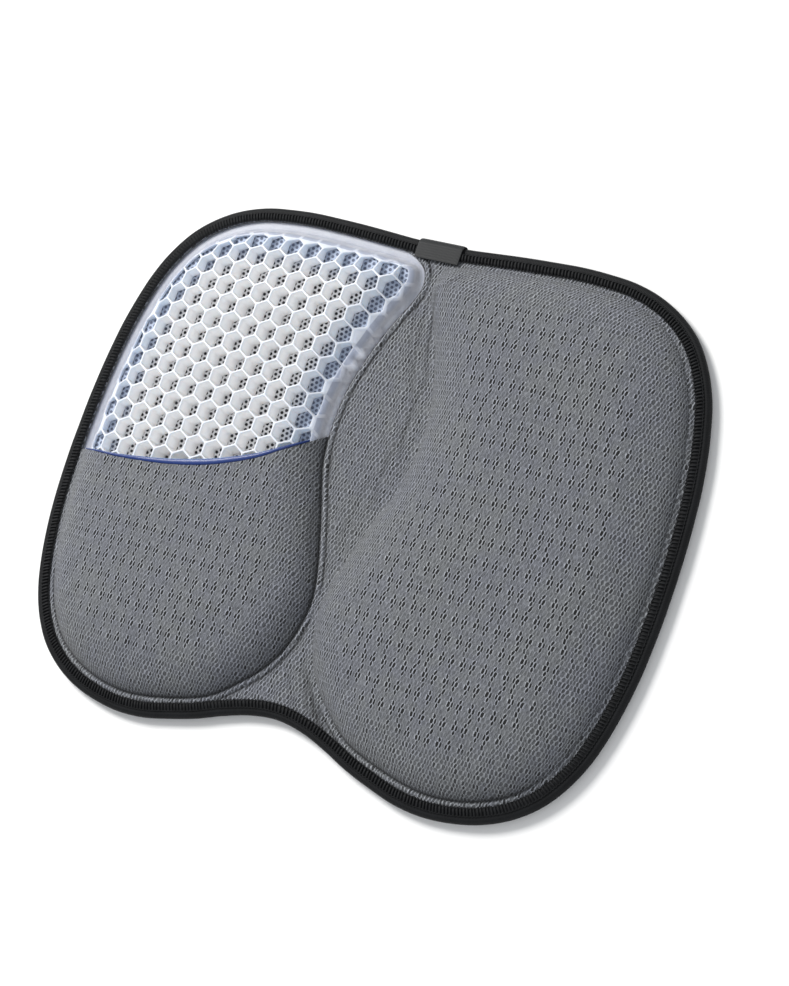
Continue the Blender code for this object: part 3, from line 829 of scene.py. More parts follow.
def slab(name, edge, centre, profile, finish, relief=None, depth_of=None):
    """A closed slab.

    profile runs from the under side's middle part out round the edge to the top's: pairs of
    (inset, height).  Its first and last ring are then drawn towards the centre in steps.
    relief(points) is added to every height below the slab's middle.
    """
    rings = [inset(edge, depth) for depth, _ in profile]
    under = [centre + (rings[0] - centre) * share for share in DRAWN_IN[::-1]]
    over = [centre + (rings[-1] - centre) * share for share in DRAWN_IN]
    steps = len(DRAWN_IN)
    heights = [profile[0][1]] * steps + [h for _, h in profile] + [profile[-1][1]] * steps
    plan = np.vstack(under + rings + over)
    count = len(edge)
    z = np.repeat(heights, count)
    middle = (profile[0][1] + profile[-1][1]) / 2
    if relief is not None:
        z = z + np.where(z < middle, relief(plan), 0.0)
    plan = np.vstack([plan, centre, centre])
    z = np.concatenate([z, [profile[0][1], profile[-1][1]]])
    rows = len(heights)
    quads = ring_faces(rows, count)
    column = np.arange(count)
    ahead = (column + 1) % count
    low_pole = rows * count
    under_cap = np.column_stack([column, np.full(count, low_pole), ahead])
    top = (rows - 1) * count
    over_cap = np.column_stack([top + column, top + ahead, np.full(count, low_pole + 1)])
    values = {"depth": depth_of(plan)} if depth_of else None
    return make_piece(name, np.column_stack([plan, z]), [quads, under_cap, over_cap], finish,
                      values=values, crease=70)


def gathers(points):
    """Small ripples just inside the tape, where the base cover's edge is gathered."""
    depth = rim_depth(points)
    angle = np.arctan2(points[:, 1], points[:, 0])
    wave = 0.5 + 0.5 * np.sin(90 * angle + 2.0 * np.sin(7 * angle))
    return 0.0005 * wave * bell(depth, SLOPE_END, 0.004)


MIDDLE = np.zeros(2)
BASE_EDGE = 0.0009
base_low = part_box("base_cover")[0].z
rim_base = RIM_LOW + TAPE_THICKNESS + GAP
base_sheet = slab(
    "base_sheet", OUTLINE, MIDDLE,
    [(0.060, base_low), (0.030, base_low), (0.018, base_low), (SLOPE_END, base_low),
     (SLOPE_END - 0.0015, rim_base * 0.35), (SLOPE_START + 0.0005, rim_base * 0.9),
     (0.008, rim_base), (RIM_TUCK, rim_base),
     (RIM_TUCK, rim_base + BASE_EDGE), (0.008, rim_base + BASE_EDGE),
     (SLOPE_START + 0.0005, rim_base * 0.9 + BASE_EDGE),
     (SLOPE_END - 0.0015, rim_base * 0.35 + 0.00085), (SLOPE_END, BASE_COVER_THICKNESS),
     (0.030, BASE_COVER_THICKNESS)], GRIP, relief=gathers)
settle(base_sheet, "base_cover")

base_pad = slab(
    "base_pad", OUTLINE, MIDDLE,
    [(0.030, BASE_COVER_THICKNESS + 0.0008), (SLOPE_END, BASE_COVER_THICKNESS + 0.0008),
     (SLOPE_START, rim_base + 0.0013), (RIM_TUCK + 0.0002, rim_base + 0.0013),
     (RIM_TUCK, FOAM_TOP - 0.0003), (RIM_TUCK + 0.0003, FOAM_TOP), (0.030, FOAM_TOP)], FOAM)
settle(base_pad, "base_foam")

# %% Cores and liners
def lobe_centre(side):
    return FOOT[side].mean(axis=0)


def foot_depth(side):
    """A function of points that gives their distance to a lobe's foot."""
    return lambda points: nearest_on(points, FOOT[side], True)[0]


for side in ("left", "right"):
    edge = evenly(ring_inside(FOOT[side], CORE_INSET), 240, True)
    core = slab("core_" + side, edge, lobe_centre(side),
                [(0.0020, CORE_LOW), (0.0009, CORE_LOW), (0.0002, CORE_LOW + 0.0007),
                 (0.0, CORE_LOW + 0.0020), (0.0003, CORE_TOP - 0.0015),
                 (0.0012, CORE_TOP - 0.0003), (0.0024, CORE_TOP)], FOAM)
    settle(core, "foam_core_" + side)
    liner = slab("liner_" + side, edge, lobe_centre(side),
                 [(0.0015, LINER_LOW), (0.0003, LINER_LOW), (0.0, LINER_LOW + 0.0003),
                  (0.0003, LINER_TOP), (0.0015, LINER_TOP)], LINER, depth_of=foot_depth(side))
    settle(liner, "liner_mesh_" + side)

# %% [markdown]
# ## The gel honeycomb
#
# Each pad is one casting.  Its top follows the lobe, and open six-sided cells run down to the
# liner.  The top plan is cut into triangles round the cells' mouths.  Every mouth then gets
# a rounded lip and a wall, and the under side repeats the plan.  Cells at the border are cut
# short by the margin, as they are in a pad trimmed from a bigger sheet.


# %% Cell outlines
SMALLEST_CELL = 0.35
CORNER_ROUND = 0.0017
CORNER_POINTS = 4


def cell_shape():
    """A hexagon with rounded corners: each corner is an arc of 60 degrees."""
    radius = (CELL_PITCH - CELL_WALL) / math.sqrt(3)
    corner = math.pi / 2 - np.arange(6) * math.pi / 3
    swing = np.linspace(math.pi / 6, -math.pi / 6, CORNER_POINTS)
    middle = (radius - 2 * CORNER_ROUND / math.sqrt(3))
    turn = (corner[:, None] + swing[None, :]).ravel()
    middles = np.repeat(corner, CORNER_POINTS)
    return np.column_stack([
        middle * np.cos(middles) + CORNER_ROUND * np.cos(turn),
        middle * np.sin(middles) + CORNER_ROUND * np.sin(turn)])


def cell_centres(side):
    """Rows along X, each half a cell on from the last."""
    row_step = CELL_PITCH * math.sqrt(3) / 2
    rows = int(DEPTH / row_step)
    columns = int(WIDTH / CELL_PITCH)
    row, column = np.meshgrid(np.arange(-rows, rows), np.arange(-columns, columns))
    x = (column + 0.5 * (row % 2)) * CELL_PITCH
    centres = np.column_stack([x.ravel(), (row * row_step).ravel()])
    return centres if side == "right" else centres * (-1, 1)


def cells_of(side):
    """All cells of a pad as an array (cell, corner point, 2), pushed inside the margin."""
    foot = FOOT[side]
    centres = cell_centres(side)
    depth = nearest_on(centres, foot, True)[0]
    centres = centres[is_inside(centres, foot) & (depth > GEL_MARGIN)]
    loops = centres[:, None, :] + cell_shape()[None, :, :]
    flat = loops.reshape(-1, 2)
    distance, place = nearest_on(flat, foot, True)
    inside = is_inside(flat, foot)
    signed = np.where(inside, distance, -distance)
    way = (flat - place) / np.maximum(distance, 1e-9)[:, None] * np.sign(signed)[:, None]
    push = np.clip(GEL_MARGIN - signed, 0, None)
    cells = (flat + way * push[:, None]).reshape(loops.shape)
    x, y = cells[..., 0], cells[..., 1]
    area = np.abs((x * np.roll(y, -1, axis=1) - y * np.roll(x, -1, axis=1)).sum(axis=1)) / 2
    big = area > SMALLEST_CELL * area.max()
    return cells[big], centres[big]


# %% The pads
LIP = 0.00042
LIP_STEPS = ((0.55 * LIP, 0.10 * LIP), (0.16 * LIP, 0.42 * LIP), (0.0, 1.0 * LIP), (0.0, 0.0016),
             (-0.00006, 0.0045))


def numbers_of(wanted, plan):
    """Number of the plan's point at each wanted place; both are rounded as vectors round them."""
    codes = plan.astype(np.float32).astype(float) @ (1, 1j)
    wanted_codes = wanted.astype(np.float32).astype(float) @ (1, 1j)
    sorter = np.argsort(codes)
    return sorter[np.searchsorted(codes, wanted_codes, sorter=sorter)]


def pad_plan(side, mouths, centres):
    """Triangles between the pad's edge and the cells' mouths, as (points, triangles)."""
    foot = FOOT[side]
    rings = [ring_inside(foot, share * GEL_RISE)[::2] for share in (0.18, 0.34, 0.50, 0.66, 0.82)]
    paths = [(GEL_EDGE[side], True)] + [(mouth, True) for mouth in mouths]
    plan, faces = triangulated(paths, np.vstack(rings))
    middles = plan[faces].mean(axis=1)
    keep = is_inside(middles, GEL_EDGE[side])
    for mouth, centre in zip(mouths, centres):
        near = np.abs(middles - centre).max(axis=1) < CELL_PITCH
        keep[near] &= ~is_inside(middles[near], mouth)
    return used_only(plan, faces[keep])


def pad_heights(side, depth):
    """Heights of a pad's top and under side at each depth inside the foot.

    The top is the lobe's profile, less the cover and the clearance.  Near the foot both sides
    blend in an S down to the thin flange.
    """
    flange_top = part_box("gel_pad_" + side)[0].z + GEL_SKIN
    flange_low = flange_top - GEL_SKIN
    high = COVER_LOW - GEL_CLEARANCE + dome(np.maximum(depth - COVER_THICKNESS, 0))
    rise = smoothstep(depth, 0.0016, GEL_RISE)
    slope = flange_top + (np.maximum(high, GEL_LOW + GEL_SKIN) - flange_top) * rise
    top = np.maximum(flange_top, np.minimum(slope, np.maximum(high, flange_top)))
    low = flange_low + (GEL_LOW - flange_low) * smoothstep(depth, 0.0022, 0.92 * GEL_RISE)
    return top, np.minimum(low, top - GEL_SKIN)


def build_pad(side):
    """Top plan round the cells, three rings of lip, a wall down to the liner, and a base."""
    cells, centres = cells_of(side)
    outward = cells - cells.mean(axis=1, keepdims=True)
    outward /= np.linalg.norm(outward, axis=2, keepdims=True)
    mouths = cells + LIP * outward
    plan, faces = pad_plan(side, mouths, centres)
    depth, _ = nearest_on(plan, FOOT[side], True)
    depth = np.where(is_inside(plan, FOOT[side]), depth, 0.0)
    top, low = pad_heights(side, depth)
    order = numbers_of(mouths.reshape(-1, 2), plan)
    under_plan = plan.copy()
    under_plan[order] = (cells - 0.00012 * outward).reshape(-1, 2)
    flat = cells.reshape(-1, 2)
    out = outward.reshape(-1, 2)
    total = len(plan)
    vertices = [np.column_stack([plan, top]), np.column_stack([under_plan, low])]
    # Rim share: high on the top faces, which get the greyer colour, and 0 below, where the walls are
    # painted whiter as painted light against the shade in the cells.
    rim = [np.where(depth < 0.002, 0.35, 0.9), np.zeros(total)]
    depths = [depth, depth]
    for sideways, down in LIP_STEPS:
        ring_height = np.maximum(top[order] - down, GEL_LOW + 0.0003)
        vertices.append(np.column_stack([flat + sideways * out, ring_height]))
        # The lips fade from the top's grey to the painted whiter walls as they go down.
        rim.append(np.full(len(flat), 0.9 * math.exp(-down / 0.0013)))
        depths.append(depth[order])
    number = np.arange(len(flat)).reshape(-1, cells.shape[1])
    ahead = np.roll(number, -1, axis=1)
    rings = [np.arange(len(flat)) + 2 * total + k * len(flat) for k in range(len(LIP_STEPS))]
    levels = [order] + rings + [order + total]
    quads = [np.stack([upper[number], lower[number], lower[ahead], upper[ahead]], -1).reshape(-1, 4)
             for upper, lower in zip(levels, levels[1:])]
    border = border_edges(faces)
    a, b = border[~np.isin(border[:, 0], order)].T
    wall = np.column_stack([a, a + total, b + total, b])
    pad = make_piece("honeycomb_" + side, np.vstack(vertices),
                     [faces, faces[:, ::-1] + total, np.concatenate(quads), wall], GEL,
                     values={"rim": np.concatenate(rim), "depth": np.concatenate(depths)}, crease=75)
    print(len(cells), "cells in the", side, "pad")
    return settle(pad, "gel_pad_" + side)


pads = [build_pad(side) for side in ("left", "right")]

# %% [markdown]
# ## The moulded cover
#
# The cover is one shell over both lobes.  Its upper side is the lobe's profile, plus a welt
# along the foot, plus a few tension creases in the channel.  A coarse copy is also blown up
# by Blender's cloth simulation, held at the foot, the tape and the cut.  The small swelling
# that the simulation finds is added to the fine shell.


# %% The cover's surface
WELT = 0.0010
WELT_MIDDLE = -0.0024
WELT_GROOVES = ((0.9, -0.0001, 0.0009), (1.2, -0.0047, 0.0007))
FILLET = 0.0014
CREASE_WIDTH = 0.0011
CREASE_BOW = 0.06
CREASES = (
    ((0.040, -0.640), (0.195, -0.880), 0.0010), ((0.075, -0.700), (0.175, -0.875), 0.0007),
    ((0.010, -0.600), (0.150, -0.865), 0.0006), ((0.110, -0.742), (0.235, -0.910), 0.0005),
    ((-0.030, -0.640), (0.105, -0.850), 0.00035), ((0.050, 0.880), (0.108, 0.420), 0.0006),
    ((0.020, 0.840), (0.085, 0.340), 0.00045), ((0.098, 0.520), (0.112, 0.080), 0.00045),
    ((-0.015, 0.860), (0.052, 0.420), 0.0003), ((0.090, 0.330), (0.070, -0.060), 0.0004),
    ((0.045, 0.120), (0.010, -0.260), 0.0003), ((-0.105, -0.020), (-0.040, -0.300), 0.0003),
    ((-0.110, 0.160), (-0.085, -0.060), 0.0004), ((0.160, 0.900), (0.075, 0.760), 0.0005),
)


def creases(points):
    """Sum of narrow bells round the crease lines, each fading towards its two ends."""
    total = np.zeros(len(points))
    for start, end, size in CREASES:
        a, b = scaled(start), scaled(end)
        t = np.linspace(0, 1, 12)[:, None]
        bow = np.array([b[1] - a[1], a[0] - b[0]]) * CREASE_BOW
        line = a + (b - a) * t + bow * np.sin(math.pi * t)
        distance, place = nearest_on(points, line, False)
        along = np.clip(((place - a) @ (b - a)) / ((b - a) @ (b - a)), 0, 1)
        total += size * bell(distance, 0, CREASE_WIDTH) * np.sin(math.pi * along) ** 0.7
    return total


def welted(points):
    """1 where the foot carries a sewn welt: along the front, and on the left of the channel."""
    by_channel = smoothstep(-np.abs(points[:, 0]), -0.060, -0.045)
    return np.maximum(by_channel, smoothstep(-points[:, 1], 0.080, 0.125))


def cover_relief(points, reach):
    """Welt, grooves, fillet and creases, as (height, painted shade: darker in the grooves, creases and
    under the flank, lighter on the welt as a painted highlight).
    """
    sewn = welted(points)
    soft = np.where(points[:, 0] > 0, smoothstep(-points[:, 1], 0.120, 0.160), 1.0) * sewn
    welt = WELT * bell(reach, WELT_MIDDLE, 0.0014) * soft
    groove = sum(size * bell(reach, middle, width) for size, middle, width in WELT_GROOVES) * soft
    fillet = FILLET * np.exp(-np.abs(reach) / 0.0024) * (1 - soft)
    fold = creases(points)
    # Painted shade on the flank near its foot and a painted highlight along the welt's ridge; the
    # painted shade of grooves and creases is added below.
    painted_flank_shade = 0.35 * soft * np.where(reach > 0, np.exp(-reach / 0.006), 0.0)
    painted_welt_highlight = 0.40 * soft * bell(reach, WELT_MIDDLE, 0.0012)
    dark = np.clip(0.95 * groove + painted_flank_shade + fold / 0.0008 - painted_welt_highlight, -0.5, 1)
    return welt - 0.0005 * groove + fillet - fold, dark


def arc_table():
    """How much longer the flank's profile is than its plan, from the shoulder down."""
    depth = np.linspace(0, FLANK_WIDTH, 400)
    height = dome(depth)
    step = np.hypot(np.diff(depth), np.diff(height))
    down = np.concatenate([np.cumsum(step[::-1])[::-1], [0]])
    return depth, down - (FLANK_WIDTH - depth)


def cover_surface(points):
    """Height of the cover's upper side, and what the material reads at each point."""
    reach, way = lobe_field(points)
    rim_share = smoothstep(rim_depth(points), SLOPE_START - 0.001, SLOPE_END)
    ground = (RIM_TOP - TAPE_THICKNESS - GAP) * (1 - rim_share) + COVER_TOP * rim_share
    relief, dark = cover_relief(points, reach)
    height = ground + dome(np.maximum(reach, 0)) + relief * rim_share
    table_depth, table_extra = arc_table()
    extra = np.where(reach > 0, np.interp(reach, table_depth, table_extra), 0.0)
    uv = points - way * extra[:, None]
    plateau = smoothstep(reach, 0.021, 0.029)
    fringe = bell(rim_depth(points), TAPE_WIDTH + 0.0010, 0.0010)
    # The crease value carries the painted shade and the painted welt highlight from cover_relief.
    return height, uv, {"plateau": plateau, "crease": dark, "fringe": fringe}, reach


def behind_cut(points):
    """True where the cover is missing."""
    line = CUT_LINE[np.argsort(CUT_LINE[:, 0])]
    return points[:, 1] > np.interp(points[:, 0], line[:, 0], line[:, 1])


OPENING = mirrored(smooth_curve(lobe_loop(SLOPE_START), 4, True))
LAYER_EDGE = inset(OUTLINE, RIM_TUCK)


def cover_there(points):
    return is_inside(points, LAYER_EDGE) & ~(is_inside(points, OPENING) & behind_cut(points))


# %% Swelling from a cloth simulation
SIM_STEP = 0.0045
SIM_FRAMES = 20
SWELL_CAP = 0.0016


def coarse_copy(plan, rows, columns):
    """The cover's upper side on a square grid, as (piece, places, points used, how held each is)."""
    height, _, _, reach = cover_surface(plan)
    row, column = np.meshgrid(np.arange(rows - 1), np.arange(columns - 1), indexing="ij")
    corner = (row * columns + column).ravel()
    quads = np.column_stack([corner, corner + 1, corner + columns + 1, corner + columns])
    quads = quads[cover_there(plan[quads].mean(axis=1))]
    used, quads = np.unique(quads, return_inverse=True)
    start = np.column_stack([plan[used], height[used]])
    copy = make_piece("swelling_copy", start, [quads.reshape(-1, 4)], KNIT)
    from_cut = nearest_on(plan[used], CUT_LINE, False)[0]
    held = np.maximum(smoothstep(reach[used], 0.010, 0.003), smoothstep(from_cut, 0.012, 0.004))
    return copy, start, used, np.round(held, 1)


def blow_up(copy, held):
    """Pins the copy as firmly as each point is held and runs the cloth under pressure."""
    pins = copy.vertex_groups.new(name="held")
    for level in np.unique(held):
        pins.add(np.flatnonzero(held == level).tolist(), float(level), "REPLACE")
    cloth = copy.modifiers.new("Cloth", "CLOTH").settings
    cloth.quality = 6
    cloth.mass = 0.3
    cloth.tension_stiffness = 20
    cloth.compression_stiffness = 20
    cloth.bending_stiffness = 2
    cloth.vertex_group_mass = "held"
    cloth.use_pressure = True
    cloth.uniform_pressure_force = 4
    cloth.effector_weights.gravity = 0
    for number in range(1, SIM_FRAMES + 1):
        bpy.context.scene.frame_set(number)
    shown = copy.evaluated_get(bpy.context.evaluated_depsgraph_get())
    after = np.empty(len(copy.data.vertices) * 3, dtype=np.float32)
    shown.data.vertices.foreach_get("co", after)
    return after.reshape(-1, 3)


def simulated_swelling():
    """The moves of a coarse copy under pressure, on a square grid: (x values, y values, moves)."""
    x = np.arange(-WIDTH / 2, WIDTH / 2 + SIM_STEP, SIM_STEP)
    y = np.arange(-DEPTH / 2, DEPTH / 2 + SIM_STEP, SIM_STEP)
    moves = np.zeros((len(y) * len(x), 3))
    plan = np.stack(np.meshgrid(x, y), axis=-1).reshape(-1, 2)
    copy, start, used, held = coarse_copy(plan, len(y), len(x))
    move = blow_up(copy, held) - start
    size = np.linalg.norm(move, axis=1)
    print(f"simulation moved the cover by up to {size.max() * 1000:.1f} mm before the cap")
    moves[used] = move * np.minimum(1, SWELL_CAP / np.maximum(size, 1e-9))[:, None]
    bpy.data.objects.remove(copy)
    bpy.context.scene.frame_set(1)
    return x, y, moves.reshape(len(y), len(x), 3)


def sample(grid, points):
    """Reads a square grid between its points: a weighted mean of the four round each place."""
    x, y, moves = grid
    column = np.clip((points[:, 0] - x[0]) / SIM_STEP, 0, len(x) - 1.001)
    row = np.clip((points[:, 1] - y[0]) / SIM_STEP, 0, len(y) - 1.001)
    c, r = column.astype(int), row.astype(int)
    s, t = (column - c)[:, None], (row - r)[:, None]
    near = moves[r, c] * (1 - s) + moves[r, c + 1] * s
    far = moves[r + 1, c] * (1 - s) + moves[r + 1, c + 1] * s
    return near * (1 - t) + far * t


SWELLING = simulated_swelling()

# %% The shell
GRID_STEP = 0.0024
RING_OFFSETS = (-0.0055, -0.0049, -0.0044, -0.0038, -0.0032, -0.0025, -0.0019, -0.0013, -0.0007,
                -0.0002, 0.0001, 0.0004, 0.0009, 0.0016, 0.0025, 0.0037, 0.0052)


def shell_points():
    """Loose points of the plan: close rings along the foot, and a square grid elsewhere."""
    rings = []
    for loop in FOOT.values():
        fine = evenly(loop, 560, True)
        for offset in RING_OFFSETS:
            ring = inset(fine, offset)
            reach, _ = lobe_field(ring)
            rings.append(ring[np.abs(reach - offset) < 0.00012])
    x, y = np.meshgrid(np.arange(-WIDTH / 2, WIDTH / 2, GRID_STEP),
                       np.arange(-DEPTH / 2, DEPTH / 2, GRID_STEP))
    x[1::2] += GRID_STEP / 2
    grid = np.column_stack([x.ravel(), y.ravel()])
    reach, _ = lobe_field(grid)
    grid = grid[(reach < RING_OFFSETS[0] - 0.0008) | (reach > RING_OFFSETS[-1] + 0.0010)]
    loose = np.vstack(rings + [grid])
    loose = loose[cover_there(loose)]
    from_rim = nearest_on(loose, LAYER_EDGE, True)[0]
    from_cut = nearest_on(loose, CUT_LINE, False)[0]
    from_opening = nearest_on(loose, OPENING, True)[0]
    by_opening = (from_opening < 0.0006) & behind_cut(loose)
    return loose[(from_rim > 0.0009) & (from_cut > 0.0007) & ~by_opening]


def build_shell():
    """The plan in triangles, the upper side from the surface, the under side parallel to it."""
    paths = [(LAYER_EDGE, True), (OPENING, True), (CUT_LINE, False)]
    plan, faces = triangulated(paths, shell_points())
    plan, faces = used_only(plan, faces[cover_there(plan[faces].mean(axis=1))])
    height, uv, values, reach = cover_surface(plan)
    move = sample(SWELLING, plan)
    top = np.column_stack([plan, height]) + move
    low_height = COVER_LOW + dome(np.maximum(reach - COVER_THICKNESS, 0))
    low = np.column_stack([plan, np.minimum(low_height, height - 0.0009)]) + move
    border = border_edges(faces)
    total = len(plan)
    a, b = border.T
    wall = np.column_stack([a, a + total, b + total, b])
    values = {key: np.concatenate([value, value]) for key, value in values.items()}
    shell = make_piece("cover_shell", np.vstack([top, low]),
                       [faces, faces[:, ::-1] + total, wall], KNIT,
                       uv=np.vstack([uv, uv]), values=values, crease=60)
    corner = plan[faces]
    edge_one, edge_two = corner[:, 1] - corner[:, 0], corner[:, 2] - corner[:, 0]
    area = np.abs(edge_one[:, 0] * edge_two[:, 1] - edge_one[:, 1] * edge_two[:, 0]).sum() / 2
    return settle(shell, "top_cover"), float(area)


cover_shell, cover_area = build_shell()
print(f"the cover's plan is {cover_area * 1e4:.0f} square centimetres")

# %% [markdown]
# ## Trim on the cut edge
#
# A glossy blue cord finishes the cut.  Its section is a flat oval that grows from almost
# nothing at the ends to its full width in the middle, laid along the cover's own edge.


# %% Trim
TRIM_WIDTH = 0.0043
TRIM_HALF_HEIGHT = 0.0011
TRIM_END_SHARE = 0.22
TRIM_START = 0.0070


def tube(name, centres, across, up, half_width, half_height, sides, finish, node):
    """A closed oval section carried along a path; the path's two ends are capped by points.

    A place on the section is centre + half_width cos(a) across + half_height sin(a) up.
    """
    turn = np.linspace(0, 2 * math.pi, sides, endpoint=False)
    ring = (centres[:, None, :]
            + half_width[:, None, None] * np.cos(turn)[None, :, None] * across[:, None, :]
            + half_height[:, None, None] * np.sin(turn)[None, :, None] * up[:, None, :])
    rows = len(centres)
    vertices = np.vstack([ring.reshape(-1, 3), centres[:1], centres[-1:]])
    column = np.arange(sides)
    ahead = (column + 1) % sides
    first, last = rows * sides, rows * sides + 1
    end = (rows - 1) * sides
    caps = np.vstack([np.column_stack([column, ahead, np.full(sides, first)])[:, [1, 0, 2]],
                      np.column_stack([end + column, end + ahead, np.full(sides, last)])])
    along = path_length(centres[:, :2])
    u = np.concatenate([np.repeat(along, sides), along[[0, -1]]])
    v = np.concatenate([np.tile(0.5 + 0.5 * np.cos(turn), rows), [0.5, 0.5]])
    quads = ring_faces(rows, sides)
    piece = make_piece(name, vertices, [quads, caps], finish, uv=np.column_stack([u, v]), crease=80)
    return settle(piece, node)


def build_trim():
    line = evenly(CUT_LINE, 260, False)
    reach, _ = lobe_field(line)
    line = line[reach > TRIM_START]
    tangent = np.gradient(line, axis=0)
    tangent /= np.linalg.norm(tangent, axis=1)[:, None]
    normal = np.column_stack([-tangent[:, 1], tangent[:, 0]])
    share = np.sin(math.pi * np.linspace(0, 1, len(line)) ** 1.25)
    half_width = TRIM_WIDTH / 2 * (TRIM_END_SHARE + (1 - TRIM_END_SHARE) * share)
    line = line + normal * (half_width[:, None] + 0.0002)
    height, _, _, _ = cover_surface(line)
    ahead = np.column_stack([tangent, np.gradient(height) / np.hypot(*np.gradient(line, axis=0).T)])
    across = np.column_stack([normal, np.zeros(len(line))])
    up = np.cross(ahead, across)
    up *= np.sign(up[:, 2:3])
    up /= np.linalg.norm(up, axis=1)[:, None]
    centres = np.column_stack([line, height - 0.0004])
    return tube("cut_trim", centres, across, up, half_width, np.full(len(line), TRIM_HALF_HEIGHT), 14,
                TRIM, "cut_edge_trim")


cut_trim = build_trim()

# %% [markdown]
# ## Binding tape and overlock thread
#
# The tape is folded round the edge: its section is a U with soft ends, carried round the
# outline.  The thread lies on its inner half as hundreds of short slanted bars.  One bar is a
# short tube of a few dozen faces, placed all round by arrays.


# %% Tape
def tape_profile():
    """(inset, height) points of the folded section, outer skin first, then the inner one."""
    radius = (RIM_TOP - RIM_LOW) / 2
    turn = np.linspace(math.pi / 2, -math.pi / 2, 15)
    outer = np.column_stack([radius - radius * np.cos(turn), RIM_MIDDLE + radius * np.sin(turn)])
    leg = np.array([(TAPE_WIDTH, -0.0005), (TAPE_WIDTH - 0.0004, -0.0001), (0.0080, 0.0001),
                    (0.0062, 0.0), (0.0048, -0.0004)])
    top = leg + (0, RIM_TOP)
    under = np.column_stack([leg[::-1, 0], RIM_LOW - leg[::-1, 1]])
    bore = radius - TAPE_THICKNESS
    inner = np.column_stack([radius - bore * np.cos(turn[::-2]),
                             RIM_MIDDLE + bore * np.sin(turn[::-2])])
    ends = [(TAPE_WIDTH, RIM_LOW + TAPE_THICKNESS)], [(TAPE_WIDTH, RIM_TOP - TAPE_THICKNESS)]
    return np.vstack([top, outer[1:-1], under, ends[0], inner, ends[1]])


def build_tape():
    """The section's every point is the outline moved inwards, at that point's height."""
    path = evenly(OUTLINE, 900, True)
    normals = right_normals(path)
    profile = tape_profile()
    along = np.arange(len(path)) / len(path)
    sway = 0.00012 * np.sin(2 * math.pi * 37 * along) * np.sin(2 * math.pi * 11 * along)
    inwards = profile[:, 0][:, None] + sway[None, :] * (profile[:, 0] > 0.004)[:, None]
    plan = path[None, :, :] + inwards[..., None] * normals[None, :, :]
    z = np.broadcast_to(profile[:, 1][:, None], inwards.shape) + 0.6 * sway[None, :]
    vertices = np.concatenate([plan, z[..., None]], axis=2).reshape(-1, 3)
    girth = path_length(profile)
    length = loop_length(path)
    u = np.tile(along * length, len(profile))
    v = np.repeat(girth, len(path))
    quads = ring_faces(len(profile), len(path), rows_close=True)[:, ::-1]
    piece = make_piece("binding_tape", vertices, [quads], TAPE, uv=np.column_stack([u, v]), crease=65)
    return settle(piece, "edge_binding")


binding_tape = build_tape()

# %% Thread
STITCH_PITCH = 0.0024
THREAD_RADIUS = 0.00060
THREAD_SWAY = 0.00012
BAR_SIDES = 6
BAR_SLANT = 0.0007 / 0.005
BAR_PROFILE = ((0.0046, -0.0002, 0.35), (0.0050, 0.00035, 0.85), (0.0060, 0.00055, 1.0),
               (0.0075, 0.0006, 1.0), (0.0090, 0.0005, 1.0), (0.0098, 0.0000, 0.85),
               (0.0101, -0.0009, 0.35))
STRAND_RADIUS = 0.00034
STRANDS = ((0.0047, 0.0003, 0.0003), (0.0099, -0.0002, 0.00035))


def on_loop(table, place):
    """Reads a closed table of (x, y) rows between its rows, at places counted in rows."""
    closed = np.vstack([table, table[:1]])
    index = np.arange(len(closed))
    return np.stack([np.interp(place, index, closed[:, k]) for k in (0, 1)], axis=-1)


def thread_bars(path, normals, bars, length):
    """Vertices, sides and ends of all bars; a bar is (inset, height, share of the radius)."""
    inset_at, lift, share = np.array(BAR_PROFILE).T
    steps = len(inset_at)
    random = np.random.default_rng(7)
    where = np.arange(bars)[:, None] / bars * length + random.normal(0, THREAD_SWAY, (bars, 1))
    slant = BAR_SLANT * (inset_at - inset_at[0])
    place = np.mod((where + slant) / length * len(path), len(path))
    inward = on_loop(normals, place)
    reach = inset_at + random.normal(0, THREAD_SWAY, (bars, 1)) * np.linspace(0, 1, steps)
    centre = on_loop(path, place) + reach[..., None] * inward
    height = np.broadcast_to(RIM_TOP + lift + 0.00005, centre.shape[:2])
    centres = np.concatenate([centre, height[..., None]], axis=2)
    sideways = np.stack([-inward[..., 1], inward[..., 0], np.zeros(inward.shape[:2])], axis=-1)
    turn = np.linspace(0, 2 * math.pi, BAR_SIDES, endpoint=False)
    size = (share * THREAD_RADIUS)[None, :, None, None]
    rings = (centres[:, :, None, :]
             + 1.1 * size * np.cos(turn)[:, None] * sideways[:, :, None, :]
             + 0.9 * size * np.sin(turn)[:, None] * np.array([0.0, 0.0, 1.0]))
    side = np.arange(BAR_SIDES)
    ends = np.stack([side, ((steps - 1) * BAR_SIDES + side)[::-1]])
    start = (np.arange(bars) * steps * BAR_SIDES)[:, None, None]
    quads = (ring_faces(steps, BAR_SIDES)[:, ::-1] + start).reshape(-1, 4)
    return rings.reshape(-1, 3), quads, (ends + start).reshape(-1, BAR_SIDES)


def edge_strand(path, normals, count, inset_at, lift, swing):
    """Vertices of a wavy strand: its inset swings in a sine with four points to a wave."""
    place = np.arange(count) / count * len(path)
    phase = np.arange(count) * math.pi / 2
    inward = on_loop(normals, place)
    middle = on_loop(path, place) + (inset_at + swing * np.sin(phase))[:, None] * inward
    height = RIM_TOP + lift + 0.0001 * np.cos(phase)
    turn = np.linspace(0, 2 * math.pi, 5, endpoint=False)[:, None]
    plan = middle + (STRAND_RADIUS * np.cos(turn))[..., None] * inward
    z = height + STRAND_RADIUS * np.sin(turn)
    return np.concatenate([plan, z[..., None]], axis=2).reshape(-1, 3)


